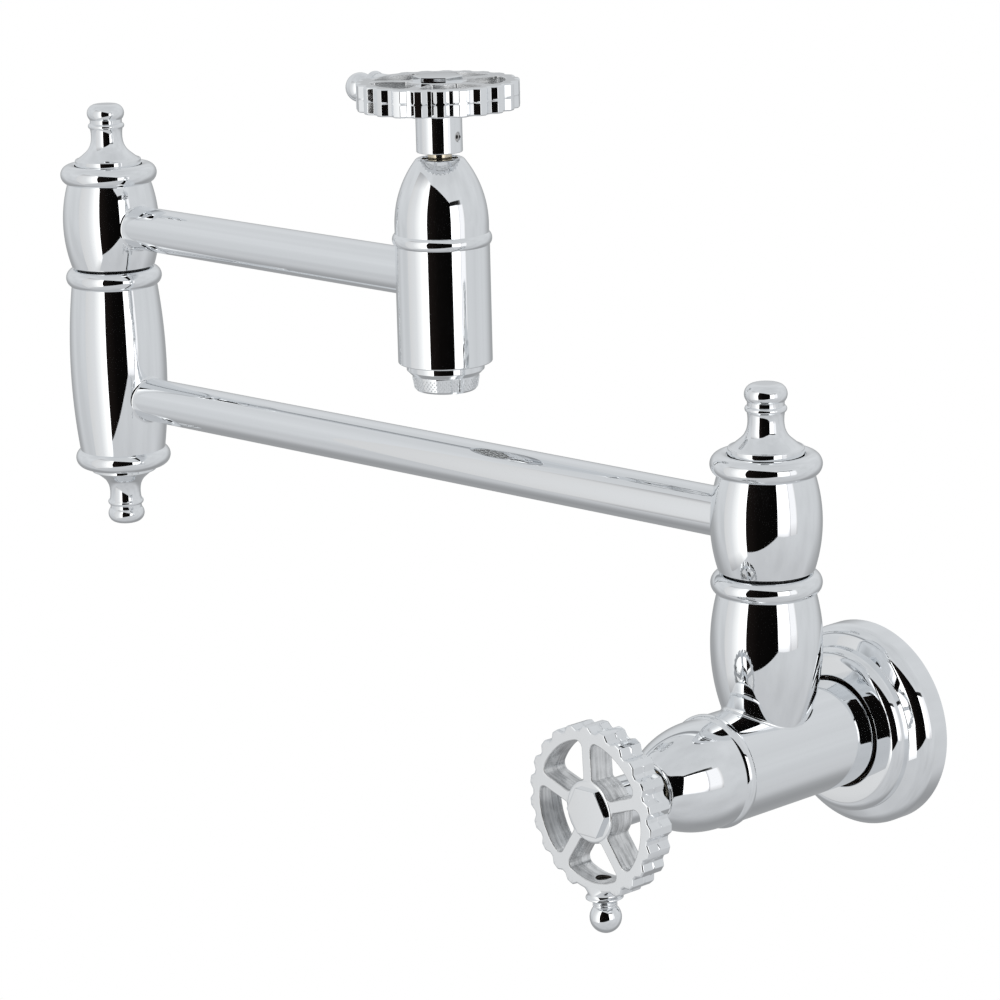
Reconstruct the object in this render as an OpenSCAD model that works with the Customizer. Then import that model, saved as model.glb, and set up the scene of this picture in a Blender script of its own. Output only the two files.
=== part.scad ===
// Wall mounted pot filler: two swing arms, a valve at the wall and a valve at the spout.
// Millimetres, +Z up. The wall is the plane y = 0 and the tap stands out towards -Y.
// The origin is where the axis of the wall valve meets the wall.

/* [Arms] */
// Lower arm, from the wall column's axis to the elbow's axis
lower_arm_len = 305; // [240:1:420]
// Upper arm, from the elbow's axis to the spout's axis
upper_arm_len = 175; // [120:1:200]
// Direction of the lower arm seen from above, 180 is to the left along the wall
lower_arm_turn = 185.7; // [180:0.1:360]
// Direction of the upper arm seen from above
upper_arm_turn = 3.5; // [0:0.1:30]
// Outside diameter of both arm tubes
arm_tube_d = 15.8; // [13:0.1:16.2]
// Wall of both arm tubes
arm_tube_wall = 1.2; // [0.8:0.1:2]
// Height that the braze at a tube's root stands out of the barrel
arm_boss_out = 0.6; // [0.4:0.1:1]
// Width of the braze around the tube
arm_boss_w = 1.2; // [0.8:0.1:2]

/* [Columns] */
// Distance from the wall to the wall column's axis
column_reach = 48; // [46:0.5:60]
// Height of the wall column's bead above the valve axis
column_rise = 56.5; // [54:0.5:62]
// Outside diameter of the beads
bead_d = 35.1; // [34:0.1:36.5]
// Height of the beads
bead_h = 7.2; // [6.4:0.1:7.6]
// Largest diameter of the swivel barrels
swivel_d = 35.1; // [34:0.1:37]
// Arc radius of a swivel barrel's side
swivel_arc_r = 51; // [46:1:80]
// Largest diameter of the upright on the valve body
upright_d = 35.56; // [34.6:0.1:37]
// Arc radius of the upright's side
upright_arc_r = 66; // [62:1:120]
// Height from the upright's widest place to its bead
upright_waist = 20.2; // [16:0.1:24]
// Largest diameter of the elbow barrel
elbow_d = 35.5; // [34.6:0.1:37]
// Arc radius of the elbow barrel's side
elbow_arc_r = 235; // [180:1:400]
// Height between the two beads of the elbow barrel
elbow_h = 68; // [64:0.5:84]
// Height from the elbow barrel's lower bead to the lower arm's axis
elbow_arm_rise = 23.6; // [22:0.1:27]
// Height from the bead to the arm's axis in a swivel barrel
arm_rise = 19.6; // [18.6:0.1:22]
// Height from the arm's axis to the swivel barrel's upper bead
arm_to_top = 18.5; // [17.5:0.1:22]
// Gap between a bead and the barrel that turns above it
swivel_gap = 0.6; // [0.4:0.05:1]

/* [Pivots] */
// Diameter of a pivot spindle in the swivel barrel
pivot_d = 19; // [17:0.1:19.6]
// Bore of a pivot spindle
pivot_bore_d = 11; // [8:0.1:12]
// Thread diameter of a pivot spindle
pivot_thread_d = 17; // [14:0.1:17.6]
// Depth of the pivot's thread below the bead
pivot_thread_h = 14; // [10:0.5:17]
// Diameter of the ports through a pivot spindle
pivot_port_d = 7.2; // [5:0.1:8]
// Diameter of the stud on top of a pivot spindle
pivot_stud_d = 10; // [8:0.1:11]
// Width across the corners of the retaining nut
nut_d = 16.4; // [14:0.1:17]
// Height of the retaining nut
nut_h = 3.6; // [3:0.1:4]
// Thickness of the retaining washer
nut_washer_h = 0.8; // [0.5:0.1:1]
// Diameter of the water chamber in a barrel
chamber_d = 26.4; // [25:0.1:27.4]

/* [Finials] */
// Diameter of the finial's foot disc
finial_foot_d = 24; // [22:0.1:25]
// Height of the foot disc
finial_foot_h = 4.4; // [3.4:0.1:5]
// Diameter of the finial's neck
finial_neck_d = 11.5; // [10:0.1:12]
// Height from the foot disc to the neck's thinnest place
finial_bell_h = 8.3; // [7:0.1:10]
// Diameter of the collar under the knob
finial_collar_d = 13.2; // [12:0.1:14]
// Diameter of the knob
finial_knob_d = 13.5; // [12.5:0.1:15]
// Height of the knob
finial_knob_h = 6.6; // [5.6:0.1:7.2]

/* [Wall flange and body] */
// Diameter of the wall flange
flange_d = 66.6; // [62:0.2:76]
// Depth of the flange's wide rim
flange_rim_h = 10.8; // [9:0.1:12]
// Diameter of the flange's raised step
flange_step_d = 54.2; // [52:0.2:57]
// Full depth of the flange
flange_h = 17; // [15.5:0.1:18.5]
// Gap between the flange's hole and the barrel
flange_gap = 1.15; // [0.8:0.05:1.6]
// Diameter of the valve body's barrel
barrel_d = 34.9; // [34:0.1:36]
// Minor diameter of the inlet's pipe thread
inlet_d = 18.6; // [18:0.1:21]
// Depth of the inlet's thread
inlet_h = 15; // [12:0.5:20]
// Distance from the wall to the lower valve's seat
lower_seat_out = 36; // [34:0.5:40]
// Diameter of the bore between inlet and seat
feed_d = 11; // [9:0.1:13]

/* [Spout] */
// Diameter of the spout body
spout_d = 31.5; // [31:0.1:34]
// Height from the spout's lower end to the upper arm's axis
spout_drop = 28.5; // [28:0.1:32]
// Height from the upper valve's seat to the upper arm's axis
spout_seat_drop = 24.2; // [22:0.1:25]
// Diameter of the short collar above the aerator
spout_collar_d = 26; // [25:0.1:28]
// Height of the short collar
spout_collar_h = 4; // [3.4:0.1:5]
// Diameter of the aerator at its top
aerator_top_d = 22.6; // [22:0.1:23]
// Diameter of the aerator at its mouth
aerator_mouth_d = 21; // [20:0.1:22]
// Height of the aerator's knurled part
aerator_h = 5.3; // [4.5:0.1:7]

/* [Valves] */
// Height from a valve's seat to the nose of its bonnet
nose_h = 64; // [62:0.5:70]
// Height from the lower bonnet's bead to its nose
lower_dome_h = 27.5; // [27:0.1:30]
// Height from the spout bonnet's bead to its nose
spout_dome_h = 26.8; // [26.4:0.1:29]
// Arc radius of the lower bonnet's side
lower_dome_arc_r = 38; // [36:0.5:50]
// Arc radius of the spout bonnet's side
spout_dome_arc_r = 35.4; // [33:0.1:46]
// Height of the bonnets' beads
dome_bead_h = 3.2; // [2.4:0.1:3.6]
// Distance that a bonnet's bead stands out of the dome
dome_bead_out = 0.85; // [0.5:0.05:1.2]
// Diameter of the opening in a bonnet's nose
nose_hole_d = 12.2; // [11:0.1:13]
// Diameter of a valve's stem
stem_d = 8; // [7:0.1:9]
// Thickness of each ceramic disc
disc_h = 3.1; // [2.5:0.1:3.4]
// Diameter of the fixed ceramic disc
disc_d = 15.6; // [14.6:0.1:15.8]

/* [Handwheels] */
// Diameter over the teeth
wheel_d = 53.7; // [52:0.1:60]
// Depth of a tooth
tooth_h = 1.45; // [1:0.05:1.8]
// Tooth places round the rim, of which the knob's boss takes two
tooth_places = 23; // [19:2:27]
// Width of a tooth's foot
tooth_foot_w = 5.6; // [5:0.1:5.8]
// Width of a tooth's top at the rim's faces
tooth_face_w = 2.2; // [1.6:0.1:3]
// Width of a tooth's top at the middle of the rim
tooth_mid_w = 3.3; // [2.4:0.1:4]
// Width of the rim
rim_w = 9; // [7:0.1:11]
// Thickness of the rim under the teeth
rim_t = 3.2; // [2.6:0.1:4]
// Number of spokes
spokes = 5; // [4:1:6]
// Width of a spoke
spoke_w = 3.8; // [3:0.1:5]
// Diameter of the hub between the spokes
hub_d = 19.8; // [18:0.1:22]
// Diameter of the sleeve behind the wheel
sleeve_d = 15.3; // [14:0.1:17]
// Length of the sleeve behind the rim
sleeve_h = 14.4; // [12:0.1:18]
// Gap between the sleeve and the bonnet's nose
sleeve_gap = 1.9; // [1.2:0.1:2.6]
// Width across the corners of the hub's cap
hex_cap_d = 16.7; // [14:0.1:17]
// Height of the hub's cap
hex_cap_h = 2.7; // [2:0.1:3.5]
// Diameter of the ball on the rim
ball_d = 9.9; // [9:0.1:12]
// Distance from the wheel's axis to the middle of the ball
ball_reach = 34.5; // [34:0.1:38]
// Diameter of the collar under the ball
ball_collar_d = 11.7; // [10:0.1:12.6]
// Direction of the lower wheel's knob, 270 is down
lower_knob_turn = 273; // [0:0.1:360]
// Direction of the upper wheel's knob, counted from the upper arm
upper_knob_turn = 184.5; // [0:0.1:360]

/* [Hidden] */

// Facets of turned shapes and of small round holes
turned_fn = 96;
small_fn = 32;

// Clearances: running fit, thread or slip fit, seal in its groove, and the overrun of every cut
run_clear = 0.06;
fit_clear = 0.1;
seal_clear = 0.02;
cut = 1;

// Beads
bead_r = bead_d / 2;
bead_a = bead_h / 2;
bead_mid_r = bead_r - bead_a;
land_drop = 0.1;
land_z = bead_a - land_drop;

// Swivel barrel, measured up from the bead below it
swivel_z0 = bead_a + swivel_gap;
swivel_top_z = arm_rise + arm_to_top;
chamber_side = 0.3;
chamber_half = arm_tube_d / 2 + chamber_side;
pivot_r = pivot_d / 2;
recess_up = 1;
recess_z = swivel_top_z + recess_up;
recess_side = 0.4;
recess_r = finial_foot_d / 2 + recess_side;
cap_skirt_h = 3.1;
cap_skirt_wall = 1.9;
nut_side = 1;
cap_r = nut_d / 2 + nut_side + cap_skirt_wall + fit_clear;
shoulder_down = 6.1;
shoulder_z = recess_z - shoulder_down;

// Pivot spindle
pivot_top_z = shoulder_z + run_clear;
pivot_cap_h = 3;
stud_over = 1;
stud_h = nut_washer_h + nut_h + stud_over;
nut_washer_side = 0.6;
nut_washer_r = cap_r - nut_washer_side;
ring_a = 1.2;
groove_wall = 0.2;
groove_r = pivot_r - 2 * ring_a - seal_clear;
ring_low_z = (swivel_z0 + arm_rise - chamber_half) / 2;
ring_high_z = (shoulder_z + arm_rise + chamber_half) / 2;
washer_side = 0.2;
washer_in_r = pivot_r + washer_side;
washer_out_r = bead_mid_r - sqrt(bead_a * bead_a - land_z * land_z) - fit_clear;

// Finial, measured up from its seat
finial_neck_z = finial_foot_h + finial_bell_h;
finial_foot_edge = 0.4;
finial_collar_a = 1.1;
finial_stalk_out = 0.25;
finial_stalk_h = 3.8;
finial_collar_z = finial_neck_z + finial_stalk_h;
finial_groove_d = 11.6;
finial_groove_h = 1.3;
finial_knob_z = finial_collar_z + finial_groove_h + finial_knob_h / 2;
finial_hollow_h = 2;

// Elbow barrel, measured from its upper bead
elbow_arm_down = elbow_h - elbow_arm_rise;
elbow_bore_d = 15;

// Places of the columns and of the spout
lower_arm_z = column_rise + arm_rise;
elbow_z = lower_arm_z + elbow_arm_down;
upper_arm_z = elbow_z + arm_rise;
elbow_x = lower_arm_len * cos(lower_arm_turn);
elbow_y = -column_reach + lower_arm_len * sin(lower_arm_turn);
spout_x = elbow_x + upper_arm_len * cos(upper_arm_turn);
spout_y = elbow_y + upper_arm_len * sin(upper_arm_turn);
tube_inside = 1.2;
tube_end_in = chamber_d / 2 - tube_inside;

// Valve, measured out from its seat
chamber_bore_d = 23;
wheel_front = nose_h + sleeve_gap + sleeve_h + rim_w;
nose_edge_r = 1.6;
dome_wall = 1.8;
dome_inset = 0.15;
dome_straight_share = 0.17;
lower_bead_z = nose_h - lower_dome_h;
spout_bead_z = nose_h - spout_dome_h;
spigot_over_bead = 1.3;
spigot_top = spout_bead_z + spigot_over_bead;

// Cartridge
seal_h = 3;
disc_side = 0.1;
cart_bore_d = disc_d + 2 * disc_side;
disc_run = 0.3;
cart_d = 18;
cart_thread_h = 10;
cart_thread_z = spigot_top - cart_thread_h;
cart_hex_d = 25;
cart_hex_h = 5;
cart_neck_d = 11;
cart_sink = 1.9;
cart_top = nose_h - cart_sink;
window_up = 0.4;
window_z = seal_h + 2 * disc_h + window_up;
window_h = 6.4;
window_w = 8;
guide_up = 5.6;
guide_z = window_z + window_h + guide_up;
seal_in_d = 9;
stem_flange_h = 2.4;
stem_flange_z = guide_z - stem_flange_h - fit_clear;
tang_w = 3;
tang_l = 11;
tang_slot_h = 1.2;
stem_short = 4.5;
stem_top = wheel_front - stem_short;
stem_end_gap = 0.5;
stem_bore_top = stem_top + stem_end_gap;
stem_ring_up = 8;
stem_ring_z = guide_z + stem_ring_up;
stem_ring_a = 0.9;
clip_h = 0.8;
clip_up = 0.3;
clip_z = cart_top + clip_up;
clip_in_d = 6.6;
clip_out_d = 10.2;
port_in_r = 2.2;
port_out_r = 6.6;
port_angle = 70;

// Flange
flange_corner_r = 5.3;
flange_corner_share = 0.51;
flange_crown_angle = 20;
flange_step_z = 11.4;
flange_step_corner_r = 3.6;
flange_wall = 2.4;
flange_plate_h = 2.6;
flange_hole_r = barrel_d / 2 + flange_gap;
flange_ring_a = 1.4;
gasket_w = 3.6;
gasket_h = 2;

// Handwheel
wheel_r = wheel_d / 2;
tooth_root_r = wheel_r - tooth_h;
rim_in_r = tooth_root_r - rim_t;
window_corner_r = 2.2;
window_hub_corner_r = 1.1;
corner_steps = 6;
arc_steps = 12;
tooth_pitch = 360 / tooth_places;
tooth_over = 0.4;
ball_boss_out = 0.4;
ball_boss_r = wheel_r + ball_boss_out;
ball_collar_h = 2;
ball_collar_edge = 1.1;
ball_flat = 0.05;
ball_neck_d = 6.6;
ball_ring_d = 7.6;
ball_ring_a = 0.35;
ball_ring_gap = 0.1;
knob_screw_d = 3;
knob_screw_head_d = 4.2;
knob_screw_head_h = 1.5;
knob_screw_sink = 0.6;
knob_screw_in = 4;
set_screw_d = 3;
set_screw_share = 0.37;
set_screw_z = nose_h + sleeve_gap + sleeve_h * set_screw_share;
set_screw_turn = 185;
set_screw_sink = 0.5;
cap_plug_d = 9.8;
cap_plug_h = 3;
cap_crown_h = 1.2;
cap_turn = 30;

// Spout
spout_edge = 0.5;
spout_collar_taper_h = 1.6;
spout_collar_taper_w = 1.6;
spout_tube_in = chamber_bore_d / 2 + fit_clear;
aerator_edge = 0.7;
aerator_thread_d = 20.6;
aerator_thread_h = 5.4;
aerator_bore_d = 17.4;
aerator_lip_h = 1.2;
aerator_lip_d = 16.4;
aerator_washer_h = 0.9;
screen_h = 0.5;
insert_hole_d = 2.6;
insert_pitch = 3.4;
outlet_d = 9;

// Shapes that repeat

// Half section of a barrel's side: an arc that is widest at mid, between two heights
module belly(max_r, arc_r, mid, z0, z1) {
  intersection() {
    translate([max_r - arc_r, mid])
      circle(arc_r, $fn = 360);
    translate([0, z0])
      square([max_r + cut, z1 - z0]);
  }
}

// Half section of a bead with its filling down to the axis
module bead_section(z) {
  translate([bead_mid_r, z])
    circle(bead_a, $fn = turned_fn);
}

module ring(out_d, in_d, h, z = 0) {
  translate([0, 0, z])
    difference() {
      cylinder(h = h, d = out_d, $fn = turned_fn);
      translate([0, 0, -cut])
        cylinder(h = h + 2 * cut, d = in_d, $fn = turned_fn);
    }
}

module torus(mid_r, a, z) {
  translate([0, 0, z])
    rotate_extrude($fn = turned_fn)
      translate([mid_r, 0])
        circle(a, $fn = small_fn);
}

// Frames: the origin of each is named in its comment

// Bead of the wall column, with x along the lower arm
module at_wall_column() {
  translate([0, -column_reach, column_rise])
    rotate([0, 0, lower_arm_turn])
      children();
}

// Upper bead of the elbow, with x along the lower arm
module at_elbow_lower() {
  translate([elbow_x, elbow_y, elbow_z])
    rotate([0, 0, lower_arm_turn])
      children();
}

// Upper bead of the elbow, with x along the upper arm
module at_elbow_upper() {
  translate([elbow_x, elbow_y, elbow_z])
    rotate([0, 0, upper_arm_turn])
      children();
}

// Axis of the spout at the height of the upper arm, with x along the upper arm
module at_spout() {
  translate([spout_x, spout_y, upper_arm_z])
    rotate([0, 0, upper_arm_turn])
      children();
}

// Seat of the lower valve, with z out of the wall
module at_lower_seat() {
  translate([0, -lower_seat_out, 0])
    rotate([90, 0, 0])
      children();
}

// Seat of the spout's valve, with z up
module at_spout_seat() {
  at_spout()
    translate([0, 0, -spout_seat_drop])
      children();
}

// Columns

// Barrel that turns on a pivot, measured from the bead below it, arm along x
module swivel_barrel() {
  difference() {
    union() {
      rotate_extrude($fn = turned_fn) {
        belly(swivel_d / 2, swivel_arc_r, arm_rise, swivel_z0, swivel_top_z);
        bead_section(swivel_top_z);
        translate([0, swivel_z0])
          square([bead_mid_r, recess_z - swivel_z0]);
      }
      intersection() {
        braze_d = swivel_d + 2 * arm_boss_out;
        translate([0, 0, arm_rise])
          rotate([0, 90, 0])
            cylinder(h = swivel_d, d = arm_tube_d + 2 * arm_boss_w, $fn = turned_fn);
        rotate_extrude($fn = turned_fn)
          belly(braze_d / 2, swivel_arc_r + arm_boss_out, arm_rise, swivel_z0, swivel_top_z);
      }
    }
    rotate_extrude($fn = turned_fn) {
      translate([0, swivel_z0 - cut])
        square([pivot_r + run_clear, shoulder_z - swivel_z0 + 2 * cut]);
      translate([0, arm_rise - chamber_half])
        square([chamber_d / 2, 2 * chamber_half]);
      translate([0, shoulder_z])
        square([cap_r, shoulder_down + cut]);
      translate([0, recess_z])
        square([recess_r, bead_a + cut]);
    }
    translate([0, 0, arm_rise])
      rotate([0, 90, 0])
        cylinder(h = swivel_d, d = arm_tube_d + 2 * fit_clear, $fn = turned_fn);
  }
}

// Turned finial, measured from its seat, with its threaded skirt below
module finial() {
  neck_r = finial_neck_d / 2;
  foot_r = finial_foot_d / 2;
  bell_foot_r = foot_r - finial_foot_edge;
  bell_w = bell_foot_r - neck_r;
  bell_r = (bell_w * bell_w + finial_bell_h * finial_bell_h) / (2 * bell_w);
  knob_a = finial_knob_h / 2;
  difference() {
    rotate_extrude($fn = turned_fn) {
      square([foot_r, finial_foot_h]);
      difference() {
        translate([0, finial_foot_h - finial_foot_edge])
          square([bell_foot_r, finial_bell_h + finial_foot_edge]);
        translate([neck_r + bell_r, finial_neck_z])
          circle(bell_r, $fn = turned_fn);
      }
      translate([0, finial_neck_z])
        square([neck_r + finial_stalk_out, finial_stalk_h]);
      translate([finial_collar_d / 2 - finial_collar_a, finial_collar_z])
        circle(finial_collar_a, $fn = small_fn);
      translate([0, finial_collar_z])
        square([finial_groove_d / 2, finial_knob_z - finial_collar_z]);
      translate([finial_knob_d / 2 - knob_a, finial_knob_z])
        circle(knob_a, $fn = turned_fn);
      translate([0, finial_knob_z - knob_a])
        square([finial_knob_d / 2 - knob_a, finial_knob_h]);
      translate([0, -cap_skirt_h])
        square([cap_r - fit_clear, cap_skirt_h + fit_clear]);
    }
    translate([0, 0, -cap_skirt_h - cut])
      cylinder(
        h = cap_skirt_h + cut + finial_hollow_h,
        r = cap_r - fit_clear - cap_skirt_wall,
        $fn = turned_fn
      );
  }
}

// Hollow spindle that feeds the barrel through four ports, measured from the bead below
module pivot() {
  difference() {
    rotate_extrude($fn = turned_fn)
      difference() {
        union() {
          translate([0, land_z])
            square([pivot_r, pivot_top_z - land_z]);
          translate([0, -pivot_thread_h])
            square([pivot_thread_d / 2, pivot_thread_h + land_z + cut]);
          translate([0, pivot_top_z])
            square([pivot_stud_d / 2, stud_h]);
        }
        translate([0, -pivot_thread_h - cut])
          square([pivot_bore_d / 2, pivot_thread_h + cut + pivot_top_z - pivot_cap_h]);
        for (z = [ring_low_z, ring_high_z])
          translate([groove_r, z - ring_a - groove_wall])
            square([pivot_r, 2 * ring_a + 2 * groove_wall]);
      }
    for (turn = [45, 135])
      translate([0, 0, arm_rise])
        rotate([0, 90, turn])
          translate([0, 0, -pivot_r - cut])
            cylinder(h = pivot_d + 2 * cut, d = pivot_port_d, $fn = small_fn);
  }
}

module pivot_o_rings() {
  for (z = [ring_low_z, ring_high_z])
    torus(pivot_r - ring_a, ring_a, z);
}

module thrust_washer() {
  ring(2 * washer_out_r, 2 * washer_in_r, swivel_gap + land_drop - run_clear, land_z);
}

module retaining_washer() {
  ring(2 * nut_washer_r, pivot_stud_d + 2 * fit_clear, nut_washer_h, pivot_top_z);
}

module retaining_nut() {
  translate([0, 0, pivot_top_z + nut_washer_h])
    difference() {
      cylinder(h = nut_h, d = nut_d, $fn = 6);
      translate([0, 0, -cut])
        cylinder(h = nut_h + 2 * cut, d = pivot_stud_d + 2 * fit_clear, $fn = turned_fn);
    }
}

// Long barrel between the arms, measured from its upper bead, arm towards -x
module elbow_barrel_solid() {
  down = -elbow_h;
  lower_recess = down - recess_up;
  difference() {
    union() {
      rotate_extrude($fn = turned_fn) {
        belly(elbow_d / 2, elbow_arc_r, -elbow_h / 2, down, 0);
        bead_section(0);
        bead_section(down);
        translate([0, lower_recess])
          square([bead_mid_r, elbow_h + recess_up + land_z]);
      }
      intersection() {
        translate([0, 0, -elbow_arm_down])
          rotate([0, -90, 0])
            cylinder(h = elbow_d, d = arm_tube_d + 2 * arm_boss_w, $fn = turned_fn);
        rotate_extrude($fn = turned_fn)
          belly(elbow_d / 2 + arm_boss_out, elbow_arc_r + arm_boss_out, -elbow_h / 2, down, 0);
      }
    }
    rotate_extrude($fn = turned_fn) {
      translate([0, -pivot_thread_h - fit_clear])
        square([pivot_thread_d / 2 + fit_clear, pivot_thread_h + bead_h]);
      translate([0, -elbow_arm_down])
        square([elbow_bore_d / 2, elbow_arm_down - pivot_thread_h]);
      translate([0, -elbow_arm_down - chamber_half])
        square([chamber_d / 2, 2 * chamber_half]);
      translate([0, lower_recess - cut])
        square([cap_r, cap_skirt_h + fit_clear + cut]);
      translate([0, lower_recess - bead_a - cut])
        square([recess_r, bead_a + cut]);
    }
    translate([0, 0, -elbow_arm_down])
      rotate([0, -90, 0])
        cylinder(h = elbow_d, d = arm_tube_d + 2 * fit_clear, $fn = turned_fn);
  }
}

// Tube along x between two column axes, clear of both by the same distance
module arm_tube(len, end_in) {
  translate([tube_end_in, 0, 0])
    rotate([0, 90, 0])
      difference() {
        cylinder(h = len - tube_end_in - end_in, d = arm_tube_d, $fn = turned_fn);
        translate([0, 0, -cut])
          cylinder(h = len + cut, d = arm_tube_d - 2 * arm_tube_wall, $fn = turned_fn);
      }
}

// Valve pieces, measured out from the seat

// Dome with a bead at its foot, screwed over the body's spigot
module bonnet(foot_d, arc_r, bead_z, dome_h) {
  foot_r = foot_d / 2;
  dome_r = foot_r - dome_inset;
  arc_z = bead_z + dome_h * dome_straight_share;
  skirt_z = bead_z - dome_bead_h / 2;
  edge_r = arc_r - nose_edge_r;
  edge_z = nose_h - nose_edge_r;
  edge_out = dome_r - arc_r + sqrt(edge_r * edge_r - (edge_z - arc_z) * (edge_z - arc_z));
  edge_top_z = edge_z + nose_edge_r * (edge_z - arc_z) / edge_r;
  rotate_extrude($fn = turned_fn)
    difference() {
      union() {
        intersection() {
          translate([dome_r - arc_r, arc_z])
            circle(arc_r, $fn = 360);
          translate([0, arc_z])
            square([foot_r, edge_top_z - arc_z]);
        }
        translate([0, skirt_z])
          square([dome_r, arc_z - skirt_z]);
        translate([0, skirt_z])
          square([edge_out, nose_h - skirt_z]);
        translate([edge_out, edge_z])
          circle(nose_edge_r, $fn = turned_fn);
        translate([foot_r + dome_bead_out - dome_bead_h / 2, bead_z])
          circle(dome_bead_h / 2, $fn = small_fn);
      }
      intersection() {
        translate([dome_r - arc_r, arc_z])
          circle(arc_r - dome_wall, $fn = 360);
        translate([0, arc_z])
          square([dome_r - dome_wall, nose_h - dome_wall - arc_z]);
      }
      translate([0, skirt_z - cut])
        square([dome_r - dome_wall, arc_z - skirt_z + cut]);
      translate([0, nose_h - 2 * dome_wall])
        square([nose_hole_d / 2, 2 * dome_wall + cut]);
    }
}

// Brass body of the quarter-turn cartridge
module cartridge() {
  difference() {
    union() {
      translate([0, 0, seal_h])
        cylinder(h = cart_thread_z - seal_h + cut, d = cart_d, $fn = turned_fn);
      translate([0, 0, cart_thread_z])
        cylinder(h = cart_thread_h + fit_clear, d = chamber_bore_d - 2 * fit_clear, $fn = turned_fn);
      translate([0, 0, spigot_top])
        cylinder(h = cart_hex_h, d = cart_hex_d, $fn = 6);
      translate([0, 0, spigot_top + cart_hex_h - cut])
        cylinder(h = cart_top - spigot_top - cart_hex_h + cut, d = cart_neck_d, $fn = turned_fn);
    }
    translate([0, 0, seal_h - cut])
      cylinder(h = guide_z - seal_h + cut, d = cart_bore_d, $fn = turned_fn);
    translate([0, 0, guide_z - cut])
      cylinder(h = cart_top - guide_z + 2 * cut, d = stem_d + 2 * run_clear, $fn = turned_fn);
    translate([-window_w / 2, -cart_d, window_z])
      cube([window_w, 2 * cart_d, window_h]);
  }
}

module seat_seal() {
  ring(cart_d - fit_clear, seal_in_d, seal_h);
}

// Two facing ports of a ceramic disc
module disc_ports(z, h) {
  for (turn = [0, 180])
    rotate([0, 0, turn - port_angle / 2])
      translate([0, 0, z])
        rotate_extrude(angle = port_angle, $fn = turned_fn)
          translate([port_in_r, 0])
            square([port_out_r - port_in_r, h]);
}

module fixed_disc() {
  difference() {
    translate([0, 0, seal_h])
      cylinder(h = disc_h, d = disc_d, $fn = turned_fn);
    disc_ports(seal_h - cut, disc_h + 2 * cut);
  }
}

// Disc that the stem turns, shut at rest because its ports lie across the fixed ones
module moving_disc() {
  z = seal_h + disc_h + run_clear;
  difference() {
    translate([0, 0, z])
      cylinder(h = disc_h, d = cart_bore_d - 2 * disc_run, $fn = turned_fn);
    rotate([0, 0, 90])
      disc_ports(z - cut, disc_h + 2 * cut);
    translate([-tang_l / 2 - fit_clear, -tang_w / 2 - fit_clear, z + disc_h - tang_slot_h])
      cube([tang_l + 2 * fit_clear, tang_w + 2 * fit_clear, tang_slot_h + cut]);
  }
}

// Spindle with its flange, driving tang, ring groove and clip groove
module stem() {
  disc_top = seal_h + 2 * disc_h + run_clear;
  tang_z = disc_top - tang_slot_h + fit_clear;
  difference() {
    union() {
      translate([0, 0, stem_flange_z])
        cylinder(h = stem_flange_h, d = cart_bore_d - 2 * disc_run, $fn = turned_fn);
      translate([0, 0, stem_flange_z])
        cylinder(h = stem_top - stem_flange_z, d = stem_d, $fn = turned_fn);
      translate([-tang_l / 2, -tang_w / 2, tang_z])
        cube([tang_l, tang_w, stem_flange_z - tang_z + fit_clear]);
    }
    ring(
      2 * stem_d,
      stem_d - 4 * stem_ring_a,
      2 * stem_ring_a + 2 * groove_wall,
      stem_ring_z - stem_ring_a - groove_wall
    );
    ring(2 * stem_d, clip_in_d, clip_h + fit_clear, clip_z - fit_clear / 2);
  }
}

module stem_o_ring() {
  torus(stem_d / 2 - stem_ring_a + seal_clear, stem_ring_a, stem_ring_z);
}

module stem_clip() {
  ring(clip_out_d, clip_in_d + seal_clear, clip_h, clip_z);
}

// Handwheel, measured out from the seat, with the knob towards +x

// Points of an arc about a centre, from one direction to another
function arc_points(c, r, a0, a1, n) = [
  for (i = [0:n]) c + r * [cos(a0 + (a1 - a0) * i / n), sin(a0 + (a1 - a0) * i / n)]
];

// Outline of the window between two spokes, the first of which lies along x
function window_outline(half, out_r, in_r, step) =
  let (
    oc = window_corner_r,
    ic = window_hub_corner_r,
    oy = half + oc,
    ox = sqrt((out_r - oc) * (out_r - oc) - oy * oy),
    iy = half + ic,
    ix = sqrt((in_r + ic) * (in_r + ic) - iy * iy),
    oa = atan2(oy, ox),
    ia = atan2(iy, ix),
    side = concat(
      arc_points([ix, iy], ic, 180 + ia, 270, corner_steps),
      arc_points([ox, oy], oc, 270, 360 + oa, corner_steps)
    ),
    mirrored = [
      for (i = [len(side) - 1:-1:0])
        let (p = side[i], a = step) [p.x * cos(a) + p.y * sin(a), p.x * sin(a) - p.y * cos(a)]
    ]
  )
  concat(
    side,
    arc_points([0, 0], out_r, oa, step - oa, arc_steps),
    mirrored,
    arc_points([0, 0], in_r, step - ia, ia, arc_steps)
  );

// Half width of a tooth at a place out from the axis and along the rim from its middle
function tooth_half(x, z) =
  let (top_w = tooth_mid_w + (tooth_face_w - tooth_mid_w) * 2 * abs(z) / rim_w)
  (tooth_foot_w + (top_w - tooth_foot_w) * (x - tooth_root_r) / tooth_h) / 2;

// Tooth along x that is broad at the middle of the rim and narrow at its faces
module tooth() {
  x0 = tooth_root_r - tooth_over;
  x1 = wheel_r + tooth_over;
  z1 = rim_w / 2 + tooth_over;
  polyhedron(
    points = [
      for (z = [-z1, 0, z1])
        for (k = [[x0, -1], [x1, -1], [x1, 1], [x0, 1]])
          [k[0], k[1] * tooth_half(k[0], z), z]
    ],
    faces = concat(
      [[0, 1, 2, 3], [11, 10, 9, 8]],
      [
        for (i = [0, 4])
          for (k = [0:3])
            for (j = [0, 1])
              j == 0 ? [i + k, i + 4 + k, i + 4 + (k + 1) % 4] : [i + k, i + 4 + (k + 1) % 4, i + (k + 1) % 4]
      ]
    )
  );
}

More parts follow.
